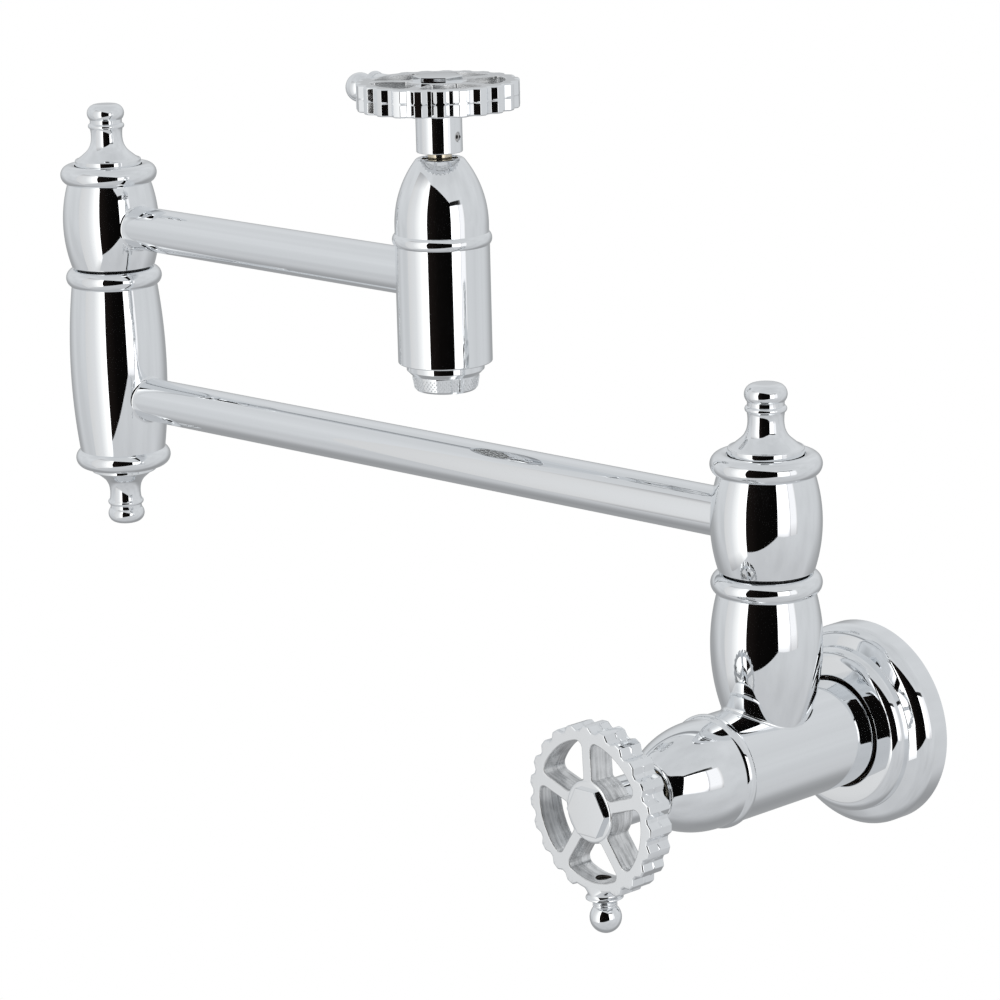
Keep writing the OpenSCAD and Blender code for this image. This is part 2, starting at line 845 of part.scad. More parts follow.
module handwheel() {
  back = wheel_front - rim_w;
  step = 360 / spokes;
  difference() {
    union() {
      translate([0, 0, back])
        difference() {
          cylinder(h = rim_w, r = tooth_root_r, $fn = turned_fn);
          for (i = [0:spokes - 1])
            rotate([0, 0, 180 + step * i])
              translate([0, 0, -cut])
                linear_extrude(rim_w + 2 * cut)
                  polygon(window_outline(spoke_w / 2, rim_in_r, hub_d / 2, step));
        }
      translate([0, 0, back + rim_w / 2])
        intersection() {
          union() {
            for (i = [1:tooth_places - 2])
              rotate([0, 0, tooth_pitch * (i + 1 / 2)])
                tooth();
          }
          translate([0, 0, -rim_w / 2])
            cylinder(h = rim_w, r = wheel_r, $fn = turned_fn);
        }
      translate([0, 0, back - sleeve_h])
        cylinder(h = sleeve_h + rim_w, d = sleeve_d, $fn = turned_fn);
      translate([0, 0, back + rim_w / 2])
        rotate([0, 90, 0])
          translate([0, 0, tooth_root_r - rim_t / 2])
            cylinder(h = ball_boss_r - tooth_root_r + rim_t / 2, d = ball_collar_d, $fn = turned_fn);
    }
    translate([0, 0, back - sleeve_h - cut])
      cylinder(h = stem_bore_top - back + sleeve_h + cut, d = stem_d + 2 * fit_clear, $fn = turned_fn);
    translate([0, 0, wheel_front - cap_plug_h - fit_clear])
      cylinder(h = cap_plug_h + fit_clear + cut, d = cap_plug_d + 2 * fit_clear, $fn = turned_fn);
    translate([0, 0, back + rim_w / 2])
      rotate([0, 90, 0]) {
        translate([0, 0, rim_in_r - cut])
          cylinder(
            h = knob_screw_head_h + cut + knob_screw_sink,
            d = knob_screw_head_d + 2 * fit_clear,
            $fn = small_fn
          );
        translate([0, 0, rim_in_r])
          cylinder(h = wheel_r, d = knob_screw_d + 2 * fit_clear, $fn = small_fn);
      }
    translate([0, 0, set_screw_z])
      rotate([0, 90, set_screw_turn])
        cylinder(h = sleeve_d, d = set_screw_d + 2 * fit_clear, $fn = small_fn);
  }
}

module hex_cap() {
  crown_r = (hex_cap_d * hex_cap_d / 4 + cap_crown_h * cap_crown_h) / (2 * cap_crown_h);
  translate([0, 0, wheel_front]) {
    intersection() {
      rotate([0, 0, cap_turn])
        cylinder(h = hex_cap_h, d = hex_cap_d, $fn = 6);
      rotate_extrude($fn = turned_fn)
        intersection() {
          translate([0, hex_cap_h - crown_r])
            circle(crown_r, $fn = 360);
          square([hex_cap_d, hex_cap_h + cut]);
        }
    }
    translate([0, 0, -cap_plug_h])
      cylinder(h = cap_plug_h + fit_clear, d = cap_plug_d, $fn = turned_fn);
  }
}

module set_screw() {
  translate([0, 0, set_screw_z])
    rotate([0, 90, set_screw_turn])
      translate([0, 0, stem_d / 2 + seal_clear])
        difference() {
          cylinder(h = sleeve_d / 2 - stem_d / 2 - set_screw_sink, d = set_screw_d, $fn = small_fn);
          translate([0, 0, sleeve_d / 2 - stem_d / 2 - 2 * set_screw_sink - cut])
            cylinder(h = 3 * cut, d = set_screw_d / 2, $fn = 6);
        }
}

// Ball on a flared collar with two fine rings on its neck
module ball_knob() {
  ring_z = ball_boss_r + ball_collar_h + ball_ring_gap + ball_ring_a;
  translate([0, 0, wheel_front - rim_w / 2])
    rotate([0, 90, 0])
      difference() {
        rotate_extrude($fn = turned_fn) {
          intersection() {
            translate([0, ball_reach])
              circle(ball_d / 2, $fn = turned_fn);
            translate([0, ball_reach - ball_d])
              square([ball_d, 3 * ball_d / 2 - ball_flat]);
          }
          translate([0, ball_boss_r + ball_collar_edge])
            square([ball_neck_d / 2, ball_reach - ball_boss_r - ball_collar_edge]);
          translate([0, ball_boss_r])
            polygon([
              [0, 0],
              [ball_collar_d / 2, 0],
              [ball_collar_d / 2, ball_collar_edge],
              [ball_neck_d / 2, ball_collar_h],
              [0, ball_collar_h]
            ]);
          for (i = [0, 1])
            translate([ball_ring_d / 2 - ball_ring_a, ring_z + i * (2 * ball_ring_a + ball_ring_gap)])
              circle(ball_ring_a, $fn = small_fn);
        }
        translate([0, 0, ball_boss_r - cut])
          cylinder(h = knob_screw_in + cut, d = knob_screw_d + 2 * fit_clear, $fn = small_fn);
      }
}

module knob_screw() {
  head_z = rim_in_r + knob_screw_sink;
  translate([0, 0, wheel_front - rim_w / 2])
    rotate([0, 90, 0]) {
      difference() {
        translate([0, 0, head_z])
          cylinder(h = knob_screw_head_h, d = knob_screw_head_d, $fn = small_fn);
        translate([0, 0, head_z - cut])
          cylinder(h = cut + knob_screw_head_h / 2, d = knob_screw_d / 2, $fn = 6);
      }
      translate([0, 0, head_z + knob_screw_head_h - fit_clear])
        cylinder(
          h = ball_boss_r + knob_screw_in - head_z - knob_screw_head_h,
          d = knob_screw_d,
          $fn = small_fn
        );
    }
}

// Pieces on the wall

// Stepped escutcheon, turned about the valve's axis
module wall_flange() {
  rim_r = flange_d / 2;
  corner_z = flange_rim_h * flange_corner_share;
  corner_r = rim_r - flange_corner_r;
  step_r = flange_step_d / 2;
  step_mid_r = step_r - flange_step_corner_r;
  color("gainsboro")
    rotate([90, 0, 0])
      rotate_extrude($fn = turned_fn)
        difference() {
          union() {
            square([rim_r, corner_z]);
            translate([corner_r, corner_z])
              circle(flange_corner_r, $fn = turned_fn);
            polygon([
              [0, corner_z],
              [
                corner_r + flange_corner_r * sin(flange_crown_angle),
                corner_z + flange_corner_r * cos(flange_crown_angle)
              ],
              [step_r, flange_step_z],
              [0, flange_step_z]
            ]);
            square([step_r, flange_h - flange_step_corner_r]);
            translate([step_mid_r, flange_h - flange_step_corner_r])
              circle(flange_step_corner_r, $fn = turned_fn);
            square([step_mid_r, flange_h]);
          }
          translate([0, -cut])
            square([rim_r - flange_wall, flange_rim_h - flange_wall + cut]);
          translate([0, -cut])
            square([step_r - flange_wall, flange_h - flange_plate_h + cut]);
          translate([0, -cut])
            square([flange_hole_r, flange_h + 2 * cut]);
        }
}

module wall_gasket() {
  out_r = flange_d / 2 - flange_wall - fit_clear;
  color("dimgray")
    rotate([90, 0, 0])
      ring(2 * out_r, 2 * (out_r - gasket_w), gasket_h);
}

module flange_o_ring() {
  color("#2b211b")
    rotate([90, 0, 0])
      torus(
        barrel_d / 2 + flange_ring_a + seal_clear,
        flange_ring_a,
        flange_h - flange_plate_h - flange_ring_a - seal_clear
      );
}

// Barrel and upright in one casting, with the inlet, the seat and the pivot's thread
module valve_body() {
  color("gainsboro")
    difference() {
      union() {
        rotate([90, 0, 0])
          cylinder(h = lower_seat_out + lower_bead_z - dome_bead_h / 2, d = barrel_d, $fn = turned_fn);
        at_lower_seat()
          cylinder(h = spigot_top, d = barrel_d - 2 * (dome_wall + dome_inset + fit_clear), $fn = turned_fn);
        translate([0, -column_reach, column_rise])
          rotate_extrude($fn = turned_fn) {
            belly(upright_d / 2, upright_arc_r, -upright_waist, -column_rise, 0);
            bead_section(0);
            translate([0, -bead_h])
              square([bead_mid_r, bead_h + land_z]);
          }
      }
      rotate([90, 0, 0])
        translate([0, 0, -cut])
          cylinder(h = inlet_h + cut, d = inlet_d, $fn = turned_fn);
      rotate([90, 0, 0])
        cylinder(h = lower_seat_out + cut, d = feed_d, $fn = turned_fn);
      at_lower_seat()
        cylinder(h = spigot_top + cut, d = chamber_bore_d, $fn = turned_fn);
      translate([0, -column_reach, 0])
        cylinder(h = column_rise, d = pivot_bore_d, $fn = turned_fn);
      translate([0, -column_reach, column_rise - pivot_thread_h - fit_clear])
        cylinder(h = pivot_thread_h + bead_h, d = pivot_thread_d + 2 * fit_clear, $fn = turned_fn);
    }
}

module lower_bonnet() {
  color("gainsboro")
    at_lower_seat()
      bonnet(barrel_d, lower_dome_arc_r, lower_bead_z, lower_dome_h);
}

module lower_cartridge() {
  color("peru") at_lower_seat() cartridge();
}

module lower_seat_seal() {
  color("dimgray") at_lower_seat() seat_seal();
}

module lower_fixed_disc() {
  color("white") at_lower_seat() fixed_disc();
}

module lower_pivot() {
  color("peru") at_wall_column() pivot();
}

module lower_pivot_o_rings() {
  color("dimgray") at_wall_column() pivot_o_rings();
}

module lower_thrust_washer() {
  color("dimgray") at_wall_column() thrust_washer();
}

module lower_retaining_washer() {
  color("peru") at_wall_column() retaining_washer();
}

module lower_retaining_nut() {
  color("peru") at_wall_column() retaining_nut();
}

// Pieces that the lower handwheel turns

// Frame of the lower wheel, with x towards its knob
module at_lower_wheel() {
  at_lower_seat()
    rotate([0, 0, lower_knob_turn])
      children();
}

module lower_stem() {
  color("silver") at_lower_wheel() stem();
}

module lower_stem_clip() {
  color("slategray") at_lower_wheel() stem_clip();
}

module lower_stem_o_ring() {
  color("dimgray") at_lower_wheel() stem_o_ring();
}

module lower_moving_disc() {
  color("white") at_lower_wheel() moving_disc();
}

module lower_handwheel() {
  color("gainsboro") at_lower_wheel() handwheel();
}

module lower_hex_cap() {
  color("silver") at_lower_wheel() hex_cap();
}

module lower_set_screw() {
  color("slategray") at_lower_wheel() set_screw();
}

module lower_ball_knob() {
  color("gainsboro") at_lower_wheel() ball_knob();
}

module lower_knob_screw() {
  color("slategray") at_lower_wheel() knob_screw();
}

// First arm

module lower_swivel_barrel() {
  color("gainsboro") at_wall_column() swivel_barrel();
}

module lower_finial() {
  color("gainsboro")
    at_wall_column()
      translate([0, 0, recess_z])
        finial();
}

module lower_arm_tube() {
  color("gainsboro")
    at_wall_column()
      translate([0, 0, arm_rise])
        arm_tube(lower_arm_len, tube_end_in);
}

module elbow_barrel() {
  color("gainsboro") at_elbow_lower() elbow_barrel_solid();
}

module elbow_bottom_finial() {
  color("gainsboro")
    at_elbow_lower()
      translate([0, 0, -elbow_h - recess_up])
        mirror([0, 0, 1])
          finial();
}

module elbow_pivot() {
  color("peru") at_elbow_lower() pivot();
}

module elbow_pivot_o_rings() {
  color("dimgray") at_elbow_lower() pivot_o_rings();
}

module elbow_thrust_washer() {
  color("dimgray") at_elbow_lower() thrust_washer();
}

module elbow_retaining_washer() {
  color("peru") at_elbow_lower() retaining_washer();
}

module elbow_retaining_nut() {
  color("peru") at_elbow_lower() retaining_nut();
}

// Second arm

module upper_swivel_barrel() {
  color("gainsboro") at_elbow_upper() swivel_barrel();
}

module upper_finial() {
  color("gainsboro")
    at_elbow_upper()
      translate([0, 0, recess_z])
        finial();
}

module upper_arm_tube() {
  color("gainsboro")
    at_elbow_upper()
      translate([0, 0, arm_rise])
        arm_tube(upper_arm_len, spout_tube_in);
}

// Upright spout with the seat in its floor, measured from the arm's axis
module spout_body() {
  top = spout_bead_z - spout_seat_drop - dome_bead_h / 2;
  thread_top = -spout_drop - spout_collar_h + aerator_thread_h + aerator_washer_h;
  color("gainsboro")
    at_spout()
      difference() {
        union() {
          rotate_extrude($fn = turned_fn)
            polygon([
              [0, -spout_drop - spout_collar_h],
              [spout_collar_d / 2 - spout_collar_taper_w, -spout_drop - spout_collar_h],
              [spout_collar_d / 2, -spout_drop - spout_collar_h + spout_collar_taper_h],
              [spout_collar_d / 2, -spout_drop],
              [spout_d / 2 - spout_edge, -spout_drop],
              [spout_d / 2, -spout_drop + spout_edge],
              [spout_d / 2, top],
              [0, top]
            ]);
          translate([0, 0, -spout_seat_drop])
            cylinder(h = spigot_top, d = spout_d - 2 * (dome_wall + dome_inset + fit_clear), $fn = turned_fn);
        }
        translate([0, 0, -spout_seat_drop])
          cylinder(h = spigot_top + cut, d = chamber_bore_d, $fn = turned_fn);
        translate([0, 0, -spout_drop])
          cylinder(h = spout_drop, d = outlet_d, $fn = turned_fn);
        translate([0, 0, -spout_drop - spout_collar_h - cut])
          cylinder(
            h = thread_top + spout_drop + spout_collar_h + cut,
            d = aerator_thread_d + 2 * fit_clear,
            $fn = turned_fn
          );
        rotate([0, -90, 0])
          cylinder(h = spout_d, d = arm_tube_d + 2 * fit_clear, $fn = turned_fn);
      }
}

module spout_bonnet() {
  color("gainsboro")
    at_spout_seat()
      bonnet(spout_d, spout_dome_arc_r, spout_bead_z, spout_dome_h);
}

module spout_cartridge() {
  color("peru") at_spout_seat() cartridge();
}

module spout_seat_seal() {
  color("dimgray") at_spout_seat() seat_seal();
}

module spout_fixed_disc() {
  color("white") at_spout_seat() fixed_disc();
}

// Frame of the aerator: the lower face of the spout's collar
module at_aerator() {
  at_spout()
    translate([0, 0, -spout_drop - spout_collar_h])
      children();
}

module aerator_housing() {
  color("gainsboro")
    at_aerator()
      difference() {
        union() {
          rotate_extrude($fn = turned_fn)
            polygon([
              [0, -aerator_h],
              [aerator_mouth_d / 2 - aerator_edge, -aerator_h],
              [aerator_mouth_d / 2, -aerator_h + aerator_edge],
              [aerator_top_d / 2, 0],
              [0, 0]
            ]);
          cylinder(h = aerator_thread_h, d = aerator_thread_d, $fn = turned_fn);
        }
        translate([0, 0, -aerator_h + aerator_lip_h])
          cylinder(h = aerator_h + aerator_thread_h + cut, d = aerator_bore_d, $fn = turned_fn);
        translate([0, 0, -aerator_h - cut])
          cylinder(h = aerator_lip_h + 2 * cut, d = aerator_lip_d, $fn = turned_fn);
      }
}

// Flow straightener with a hexagonal pattern of holes
module aerator_insert() {
  z = -aerator_h + aerator_lip_h;
  color("whitesmoke")
    at_aerator()
      difference() {
        translate([0, 0, z])
          cylinder(
            h = aerator_h + aerator_thread_h - aerator_lip_h - screen_h,
            d = aerator_bore_d - 2 * fit_clear,
            $fn = turned_fn
          );
        for (i = [-2:2])
          for (j = [-2:2])
            if (abs(i + j) <= 2)
              translate([insert_pitch * (i + j / 2), insert_pitch * j * sin(60), z - cut])
                cylinder(h = aerator_h + aerator_thread_h + 2 * cut, d = insert_hole_d, $fn = small_fn);
      }
}

module aerator_screen() {
  color("silver")
    at_aerator()
      translate([0, 0, aerator_thread_h - screen_h])
        cylinder(h = screen_h, d = aerator_bore_d - 2 * fit_clear, $fn = turned_fn);
}

module aerator_washer() {
  color("dimgray")
    at_aerator()
      ring(aerator_thread_d, aerator_bore_d - 2, aerator_washer_h, aerator_thread_h);
}

// Pieces that the upper handwheel turns

// Frame of the upper wheel, with x towards its knob
module at_upper_wheel() {
  at_spout_seat()
    rotate([0, 0, upper_knob_turn])
      children();
}

module spout_stem() {
  color("silver") at_upper_wheel() stem();
}

module spout_stem_clip() {
  color("slategray") at_upper_wheel() stem_clip();
}

module spout_stem_o_ring() {
  color("dimgray") at_upper_wheel() stem_o_ring();
}

module spout_moving_disc() {
  color("white") at_upper_wheel() moving_disc();
}

module spout_handwheel() {
  color("gainsboro") at_upper_wheel() handwheel();
}

module spout_hex_cap() {
  color("silver") at_upper_wheel() hex_cap();
}

module spout_set_screw() {
  color("slategray") at_upper_wheel() set_screw();
}

module spout_ball_knob() {
  color("gainsboro") at_upper_wheel() ball_knob();
}

module spout_knob_screw() {
  color("slategray") at_upper_wheel() knob_screw();
}

wall_flange();
wall_gasket();
flange_o_ring();
valve_body();
lower_bonnet();
lower_cartridge();
lower_seat_seal();
lower_fixed_disc();
lower_pivot();
lower_pivot_o_rings();
lower_thrust_washer();
lower_retaining_washer();
lower_retaining_nut();
lower_stem();
lower_stem_clip();
lower_stem_o_ring();
lower_moving_disc();
lower_handwheel();
lower_hex_cap();
lower_set_screw();
lower_ball_knob();
lower_knob_screw();
lower_swivel_barrel();
lower_finial();
lower_arm_tube();
elbow_barrel();
elbow_bottom_finial();
elbow_pivot();
elbow_pivot_o_rings();
elbow_thrust_washer();
elbow_retaining_washer();
elbow_retaining_nut();
upper_swivel_barrel();
upper_finial();
upper_arm_tube();
spout_body();
spout_bonnet();
spout_cartridge();
spout_seat_seal();
spout_fixed_disc();
aerator_housing();
aerator_insert();
aerator_screen();
aerator_washer();
spout_stem();
spout_stem_clip();
spout_stem_o_ring();
spout_moving_disc();
spout_handwheel();
spout_hex_cap();
spout_set_screw();
spout_ball_knob();
spout_knob_screw();
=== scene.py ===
from math import acos, asin, atan2, ceil, cos, degrees, hypot, pi, radians, sin, sqrt

import bmesh
import bpy
from mathutils import Matrix, Vector
from mathutils.geometry import tessellate_polygon


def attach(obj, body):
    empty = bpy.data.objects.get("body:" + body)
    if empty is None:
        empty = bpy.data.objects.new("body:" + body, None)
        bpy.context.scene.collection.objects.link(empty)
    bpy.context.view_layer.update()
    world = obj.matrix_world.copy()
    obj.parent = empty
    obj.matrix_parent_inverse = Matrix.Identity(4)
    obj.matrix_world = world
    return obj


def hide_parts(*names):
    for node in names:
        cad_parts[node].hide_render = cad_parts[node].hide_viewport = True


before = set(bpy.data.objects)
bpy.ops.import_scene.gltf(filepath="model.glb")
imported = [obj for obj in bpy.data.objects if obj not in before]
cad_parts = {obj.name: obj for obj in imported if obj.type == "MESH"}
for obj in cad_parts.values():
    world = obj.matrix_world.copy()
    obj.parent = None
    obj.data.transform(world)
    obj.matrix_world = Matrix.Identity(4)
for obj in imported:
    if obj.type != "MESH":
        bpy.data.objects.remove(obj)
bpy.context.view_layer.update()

# Camera
# A long lens, a little above the tap and off to its right, rolled by about a degree.
# Lengths in this file are millimetres until the mesh is made, which turns them into metres.
mm = 0.001
camera_turn, camera_rise, camera_roll = radians(48.734), radians(14.365), radians(-1.3945)
camera_back = Vector((
    sin(camera_turn) * cos(camera_rise),
    -cos(camera_turn) * cos(camera_rise),
    sin(camera_rise),
))
level = Vector((cos(camera_turn), sin(camera_turn), 0))
upward = level.cross(-camera_back)
camera_right = cos(camera_roll) * level + sin(camera_roll) * upward
camera_up = cos(camera_roll) * upward - sin(camera_roll) * level
aim, distance = Vector((-125.47, -47.93, 60.76)), 1129.63
camera_place = aim * mm + camera_back * distance * mm
lens = bpy.data.cameras.new("camera")
lens.sensor_width = 36
lens.lens = 119.62
lens.clip_start = 0.05
lens.clip_end = 50
camera = bpy.data.objects.new("camera", lens)
camera.matrix_world = Matrix.Translation(camera_place) @ Matrix(
    (camera_right, camera_up, camera_back)
).transposed().to_4x4()
bpy.context.scene.collection.objects.link(camera)
bpy.context.scene.camera = camera

# Studio
# A pale tent lit from all round, with a dark opening and white panels on both sides of it.
# They only show as reflections in the chrome. The floor is plain white.
scene = bpy.context.scene
scene.view_settings.view_transform = "Standard"


def node(tree, kind, place=(0, 0), sockets=None, **settings):
    """Adds a node. Each socket named gets a value, or a link from another node's output."""
    made = tree.nodes.new(kind)
    made.location = place
    for name, value in settings.items():
        setattr(made, name, value)
    for name, value in (sockets or {}).items():
        if isinstance(value, bpy.types.NodeSocket):
            tree.links.new(value, made.inputs[name])
        else:
            made.inputs[name].default_value = value
    return made


def ramp(tree, place, factor, stops):
    """Adds a colour ramp with the given stops."""
    made = node(tree, "ShaderNodeValToRGB", place, {0: factor})
    points = made.color_ramp.elements
    while len(points) > 1:
        points.remove(points[-1])
    points[0].position = stops[0][0]
    points[0].color = (*stops[0][1], 1)
    for at, colour in stops[1:]:
        points.new(at).color = (*colour, 1)
    return made.outputs["Color"]


def mapped(tree, place, value, given, wanted, kind="LINEAR"):
    """Adds a map from one range to another."""
    made = node(tree, "ShaderNodeMapRange", place, {
        "Value": value, "From Min": given[0], "From Max": given[1],
        "To Min": wanted[0], "To Max": wanted[1],
    }, interpolation_type=kind)
    return made.outputs[0]


def product(tree, place, a, b):
    """Adds a node that multiplies two colours."""
    sockets = {"Factor": 1, "A": a, "B": b}
    made = node(tree, "ShaderNodeMix", place, sockets, data_type="RGBA", blend_type="MULTIPLY")
    return made.outputs["Result"]


def noise(tree, place, where, scale, detail, distortion=0.0):
    """Adds a noise texture."""
    return node(tree, "ShaderNodeTexNoise", place, {
        "Vector": where, "Scale": scale, "Detail": detail, "Distortion": distortion,
    }).outputs["Fac"]


def seen_as(tree, lit, seen, kind):
    """Ends a tree in one shader for light, and another for what the camera sees directly."""
    ray = node(tree, "ShaderNodeLightPath", (-100, 300))
    choose = node(tree, "ShaderNodeMixShader", (150, 0), {0: ray.outputs["Is Camera Ray"], 1: lit, 2: seen})
    node(tree, kind, (350, 0), {0: choose.outputs[0]})


world = bpy.data.worlds.new("tent")
world.use_nodes = True
scene.world = world
tree = world.node_tree
tree.nodes.clear()
where = node(tree, "ShaderNodeTexCoord", (-1200, 0)).outputs["Generated"]
parts = node(tree, "ShaderNodeSeparateXYZ", (-1000, 0), {0: where})
walls = ramp(tree, (-600, -200), mapped(tree, (-800, -200), parts.outputs["Z"], (-1, 1), (0, 1)), [
    (0.0, (0.55, 0.56, 0.575)),
    (0.22, (0.61, 0.62, 0.635)),
    (0.42, (0.665, 0.68, 0.695)),
    (0.6, (0.69, 0.705, 0.72)),
    (0.8, (0.7, 0.715, 0.73)),
    (1.0, (0.63, 0.645, 0.66)),
])
facing = node(tree, "ShaderNodeVectorMath", (-800, 200), {
    0: where, 1: (sin(camera_turn), -cos(camera_turn), 0.9),
}, operation="DOT_PRODUCT")
behind = mapped(tree, (-600, 200), facing.outputs["Value"], (-1.15, -0.6), (0.58, 1), "SMOOTHSTEP")
folds = mapped(tree, (-600, -450), noise(tree, (-800, -450), where, 2.2, 4), (0.3, 0.7), (0.93, 1.06))
tent_colour = product(tree, (-300, 0), product(tree, (-450, -200), walls, folds), behind)
tent_light = node(tree, "ShaderNodeBackground", (-100, 0), {"Color": tent_colour})
paper = node(tree, "ShaderNodeBackground", (-100, -200), {"Color": (1, 1, 1, 1)})
seen_as(tree, tent_light.outputs[0], paper.outputs[0], "ShaderNodeOutputWorld")


def new_material(name):
    """A material with an empty tree, and that tree."""
    material = bpy.data.materials.new(name)
    material.use_nodes = True
    material.node_tree.nodes.clear()
    return material, material.node_tree


def shade(value):
    return value, value, value


def glow(name, along, upward=((0, shade(1)),)):
    """Light of a panel: brightness by the share along it, and by its share of height."""
    material, tree = new_material(name)
    across = node(tree, "ShaderNodeUVMap", (-800, 0), uv_map="across")
    shares = node(tree, "ShaderNodeSeparateXYZ", (-600, 0), {0: across.outputs[0]})
    ends = ramp(tree, (-400, 100), shares.outputs["X"], along)
    rows = ramp(tree, (-400, -200), shares.outputs["Y"], upward)
    light = node(tree, "ShaderNodeEmission", (100, 0), {
        "Color": product(tree, (-100, 0), ends, rows), "Strength": 1.7,
    })
    node(tree, "ShaderNodeOutputMaterial", (300, 0), {0: light.outputs[0]})
    return material


def placed(name, mesh):
    """Puts a mesh in the scene as an object."""
    made = bpy.data.objects.new(name, mesh)
    scene.collection.objects.link(made)
    return made


def backdrop(name, corners, material):
    """Adds one flat face that isn't part of the tap."""
    mesh = bpy.data.meshes.new(name)
    mesh.from_pydata([[v * mm for v in corner] for corner in corners], [], [(0, 1, 2, 3)])
    mesh.materials.append(material)
    made = placed(name, mesh)
    return made


def panel(name, left, right, material):
    """Upright panel between two edges, each (x, y, foot height, top height)."""
    corners = [(*left[:2], left[2]), (*right[:2], right[2]), (*right[:2], right[3]), (*left[:2], left[3])]
    made = backdrop(name, corners, material)
    across = made.data.uv_layers.new(name="across")
    for k, share in enumerate(((0, 0), (1, 0), (1, 1), (0, 1))):
        across.data[k].uv = share
    made.visible_camera = False
    made.visible_diffuse = False
    made.visible_shadow = False


dark = glow(
    "dark opening", [(0, (0.006, 0.0045, 0.004)), (0.4, (0.002, 0.0017, 0.0016)), (1, shade(0.001))],
)
fading = glow(
    "left panel",
    [(0, shade(0.42)), (0.35, (0.47, 0.475, 0.48)), (0.7, (0.7, 0.7, 0.69)), (0.86, (1, 1, 0.99))],
    [(0, (0.6, 0.6, 0.61)), (0.12, shade(1)), (0.8, shade(1)), (1, (0.6, 0.6, 0.61))],
)
white = glow(
    "right panel",
    [(0, shade(1)), (0.8, shade(1)), (1, (0.75, 0.75, 0.76))],
    [(0, (0.55, 0.55, 0.56)), (0.2, shade(1))],
)
second = glow(
    "far right panel",
    [(0, (0.35, 0.35, 0.36)), (0.12, (0.62, 0.62, 0.63)), (0.8, (0.62, 0.62, 0.63)), (1, shade(0.42))],
    [(0, shade(0.7)), (0.2, shade(1))],
)
seam = glow("seam", [(0, shade(0.004)), (0.75, shade(0.012)), (1, shade(0.15))])
panel("tent_opening", (28, -720, -265, 720), (602, -304, -105, 448), dark)
panel("left_panel", (-500, -470, -400, 600), (28, -720, -310, 740), fading)
panel("right_panel", (602, -304, -105, 398), (690, -20, -120, 400), white)
panel("far_right_panel", (690, -20, -120, 400), (690, 190, -120, 400), second)
panel("top_seam", (602, -304, 398, 460), (700, 100, 405, 480), seam)

floor_z, far = -600, 3000
floor_paper, tree = new_material("floor paper")
lit = node(tree, "ShaderNodeBsdfDiffuse", (-100, -200), {"Color": (0.8, 0.8, 0.81, 1)})
bright = node(tree, "ShaderNodeEmission", (-100, -400), {"Color": (1, 1, 1, 1)})
seen_as(tree, lit.outputs[0], bright.outputs[0], "ShaderNodeOutputMaterial")
floor_corners = [(-far, -far, floor_z), (far, -far, floor_z), (far, far, floor_z), (-far, far, floor_z)]
floor = backdrop("floor", floor_corners, floor_paper)
floor.visible_glossy = False

# Wall flange
# Stepped escutcheon of cast brass, turned, polished and chromed, that hides the joint at the wall.
# It slides on the barrel and is held by an O-ring, which shows as a dark line in its hole.


def on_object(tree):
    """Adds the place on the object, in its own axes."""
    return node(tree, "ShaderNodeTexCoord", (-1000, 0)).outputs["Object"]


def bump(tree, place, height, depth, over=None):
    """Adds relief of a depth in millimetres, over any given relief."""
    sockets = {"Strength": 1, "Distance": depth * mm, "Height": height}
    if over is not None:
        sockets["Normal"] = over
    return node(tree, "ShaderNodeBump", place, sockets).outputs["Normal"]


def surface(tree, sockets):
    """Ends a material in a principled shader with the given values and links."""
    body = node(tree, "ShaderNodeBsdfPrincipled", (0, 0), sockets)
    node(tree, "ShaderNodeOutputMaterial", (300, 0), {0: body.outputs[0]})


def chrome(name, ripple=0.02, grain=0.0, haze=0.03):
    """Bright chrome plate: slow ripples left by polishing, faint pits, and wipe marks in the gloss."""
    material, tree = new_material(name)
    place = on_object(tree)
    slow = noise(tree, (-700, 100), place, 55, 1.5)
    fine = noise(tree, (-700, -200), place, 1400, 3)
    wipe = noise(tree, (-700, -500), place, 120, 4, 1.2)
    waves = bump(tree, (-400, 100), slow, ripple)
    surface(tree, {
        "Base Color": (0.88, 0.895, 0.91, 1), "Metallic": 1,
        "Roughness": mapped(tree, (-400, -500), wipe, (0.35, 0.75), (haze * 0.6, haze * 1.8)),
        "Normal": bump(tree, (-200, -100), fine, 0.0002 + grain, waves),
    })
    return material


def arc(r, z, a, start, end, step=7.5, count=None):
    """Points on a circle of radius a about (r, z), from one direction to another in degrees."""
    count = count or max(2, ceil(abs(end - start) / step))
    turns = [radians(start + (end - start) * i / count) for i in range(count + 1)]
    return [(r + a * cos(t), z + a * sin(t)) for t in turns]


def eased(points, step=12, closed=True, count=None, beside=0.25):
    """Outline through corners (r, z, radius), each rounded to its radius, with a support beside it."""
    made = []
    total = len(points)
    for i, (r, z, *easing) in enumerate(points):
        easing = easing[0] if easing else 0
        if not easing or (not closed and i in (0, total - 1)):
            made.append((r, z))
            continue
        before, here, after = Vector(points[i - 1][:2]), Vector((r, z)), Vector(points[(i + 1) % total][:2])
        into, away = (here - before).normalized(), (after - here).normalized()
        bend = acos(max(-1, min(1, into.dot(away))))
        if bend < 1e-3:
            made.append((r, z))
            continue
        back = easing * abs(sin(bend / 2) / cos(bend / 2))
        side = 1 if into.x * away.y - into.y * away.x > 0 else -1
        first = here - into * back
        centre = first + Vector((-into.y, into.x)) * easing * side
        start = degrees(atan2(first.y - centre.y, first.x - centre.x))
        turned_by = side * degrees(bend)
        support = min(beside, easing)
        made.append(tuple(first - into * support))
        made += arc(centre.x, centre.y, easing, start, start + turned_by, step, count)
        made.append(tuple(here + away * (back + support)))
    return made


